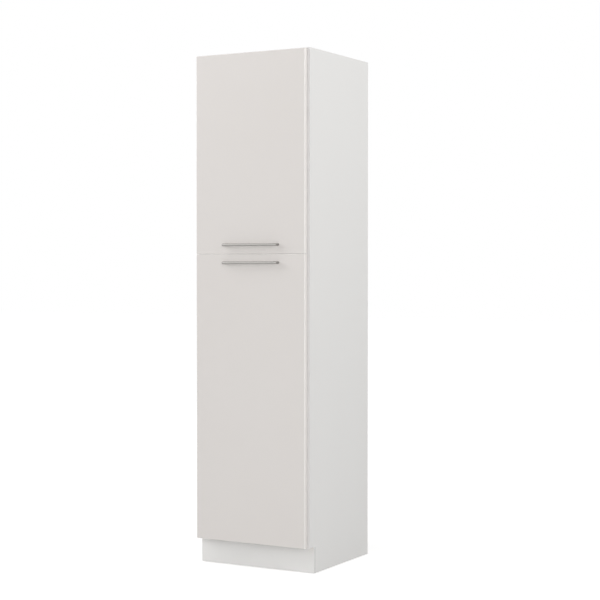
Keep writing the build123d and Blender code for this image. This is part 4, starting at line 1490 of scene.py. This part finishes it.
@dataclass
class PlinthBrackets:
    """Steel angle brackets behind the plinth, with their screws."""

    leg: float = 30 * MM
    height: float = 20 * MM
    steel: float = 2 * MM
    bend: float = 2.5 * MM
    inner_bend: float = 0.8 * MM
    corner: float = 4 * MM
    easing: float = 0.3 * MM
    screw_reach: float = 18 * MM
    hole: float = 1.75 * MM
    screw: Screw = Screw(1.7 * MM, 12 * MM, 3.5 * MM, 2 * MM)

    def build(self, finishes: Finishes) -> None:
        """Bends one bracket and copies it to both ends of the plinth.

        Args:
            finishes: The finishes by the record's slot names.
        """
        low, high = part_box("plinth_brackets")
        heights = (low.z, high.z - self.height)
        places = [side @ up for side in (Matrix(), MIRROR) for up in raised(heights)]
        whole = self._bracket(high.x, low.y).spread("plinth_brackets_bent", places)
        whole.deliver("carcass", finishes, STEEL, "plinth_brackets")
        spots = []
        for hand in (-1, 1):
            for z in heights:
                middle = z + self.height / 2
                at_plinth = (hand * (high.x - self.screw_reach), low.y + self.steel, middle)
                at_side = (hand * (high.x - self.steel), low.y + self.screw_reach, middle)
                spots += [placed(at_plinth, REARWARD), placed(at_side, (-hand, 0, 0))]
        self.screw.drive("plinth_bracket_screws", "carcass", spots, finishes)

    def _bracket(self, x: float, y: float) -> Workpiece:
        """Bends and bores one bracket.

        Args:
            x: Where its outer corner stands.
            y: The same corner's depth.

        Returns:
            The bracket.
        """
        left, back = x - self.leg, y + self.leg
        inner_x, inner_y = x - self.steel, y + self.steel
        bracket = Workpiece.block("bracket", (left, y, 0), (x, back, self.height))
        bracket.round_off(both(over(Axis.X, x), under(Axis.Y, y)), self.bend, steps=5)
        corners = (left - PAST, inner_y, -PAST), (inner_x, back + PAST, self.height + PAST)
        waste = Workpiece.block("waste", *corners)
        at_bend = both(over(Axis.X, inner_x), under(Axis.Y, inner_y))
        waste.round_off(at_bend, self.inner_bend, steps=4)
        bracket.cut(waste)
        at_plinth = both(under(Axis.X, left), along(Axis.Y))
        at_side = both(over(Axis.Y, back), along(Axis.X))
        bracket.round_off(lambda a, b: at_plinth(a, b) or at_side(a, b), self.corner, steps=4)
        reach, middle, out = self.screw_reach, self.height / 2, 2 * self.steel
        bracket.drill(
            self.hole,
            ((x - reach, y - PAST, middle), (x - reach, y + out, middle)),
            ((x - out, y + reach, middle), (x + PAST, y + reach, middle)),
        )
        bracket.ease(self.easing)
        return bracket


@dataclass
class ShelfPins:
    """Steel shelf supports: a peg in the side and a lug under the shelf."""

    peg: float = 2.5 * MM
    peg_length: float = 9 * MM
    lug: float = 8 * MM
    lug_rise: float = 3 * MM
    lug_rounding: float = 2 * MM
    lug_edge: float = 0.8 * MM
    easing: float = 0.3 * MM

    def build(self, finishes: Finishes) -> None:
        """Turns one pin and copies it to the shelf's corners.

        Args:
            finishes: The finishes by the record's slot names.
        """
        low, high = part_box("shelf_pins")
        z, half = (low.z + high.z) / 2, self.lug / 2
        face = high.x - self.peg_length
        end = face - self.lug
        pin = Workpiece.block("pin", (end, -half, -self.lug_rise), (face, half, self.lug_rise))
        pin.round_off(under(Axis.X, end), self.lug_rounding, steps=4)
        pin.round_off(along(Axis.X), self.lug_edge, steps=3)
        ends = (face - PAST, 0, 0), (high.x, 0, 0)
        pin.weld(Workpiece.rod("peg", *ends, self.peg, Sides.PEG))
        pin.ease(self.easing)
        places = [
            side @ Matrix.Translation((0, y, z))
            for side in (Matrix(), MIRROR)
            for y in (low.y + half, high.y - half)
        ]
        pin.spread("shelf_pins_turned", places).deliver("carcass", finishes, STEEL, "shelf_pins")


@dataclass
class SmallMouldings:
    """The caps over the cams that can be seen, and the glides under the sides."""

    cap_radius: float = 9 * MM
    cap_edge: float = 0.8 * MM
    cap_dish: float = 0.2 * MM
    cap_rim: float = 2.2 * MM
    glide_radius: float = 7 * MM
    nail: float = 1 * MM
    nail_length: float = 14 * MM

    def build(self, finishes: Finishes) -> None:
        """Builds the caps, dished discs with a rounded rim, and the glides, domed feet on a nail.

        Args:
            finishes: The finishes by the record's slot names.
        """
        low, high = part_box("cam_caps")
        thick = high.z - low.z
        cap = Workpiece.rod("cap", (0, 0, 0), (0, 0, thick), self.cap_radius, Sides.DISC)
        cap.round_off(over(Axis.Z, thick), self.cap_edge, steps=4)
        cap.pick_face((0, 0, 1))
        cap.inset(self.cap_rim, self.cap_dish)
        caps = cap.spread("cam_caps_dished", self._corners(low, high, self.cap_radius, high.z))
        caps.deliver("carcass", finishes, "white_plastic_cap", "cam_caps")
        low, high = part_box("floor_glides")
        foot = high.z - low.z - self.nail_length
        glide = Screw(self.nail, self.nail_length, self.glide_radius, foot, crossed=False).shape()
        places = self._corners(low, high, self.glide_radius, low.z + foot)
        glides = glide.spread("floor_glides_domed", places)
        glides.deliver("carcass", finishes, "glide_plastic", "floor_glides")

    def _corners(self, low: Vector, high: Vector, radius: float, z: float) -> list[Matrix]:
        """Places four round pieces that look down in the corners of a box.

        Args:
            low: The box's lowest corner.
            high: The opposite corner.
            radius: The pieces' radius.
            z: The height of the side that they stand on.

        Returns:
            The places.
        """
        across = (low.x + radius, high.x - radius)
        deep = (low.y + radius, high.y - radius)
        return [placed((x, y, z), DOWN) for x in across for y in deep]


def main() -> None:
    """Loads the frame and builds the studio and each sub-assembly in order."""
    logging.basicConfig(level=logging.INFO, format="%(name)s: %(message)s")
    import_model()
    Studio().build()
    finishes = shared_finishes()
    Boards().build()
    for node, slot in HIDDEN_FITTINGS:
        dress(node, finishes[slot])
    for fittings in (EdgingStrips, ShelfPins, SmallMouldings, PlinthBrackets, ConcealedHinges):
        fittings().build(finishes)
    for which in Which:
        Door(which).build(finishes)
        BarHandle(which).build(finishes)


if __name__ == "__main__":
    main()
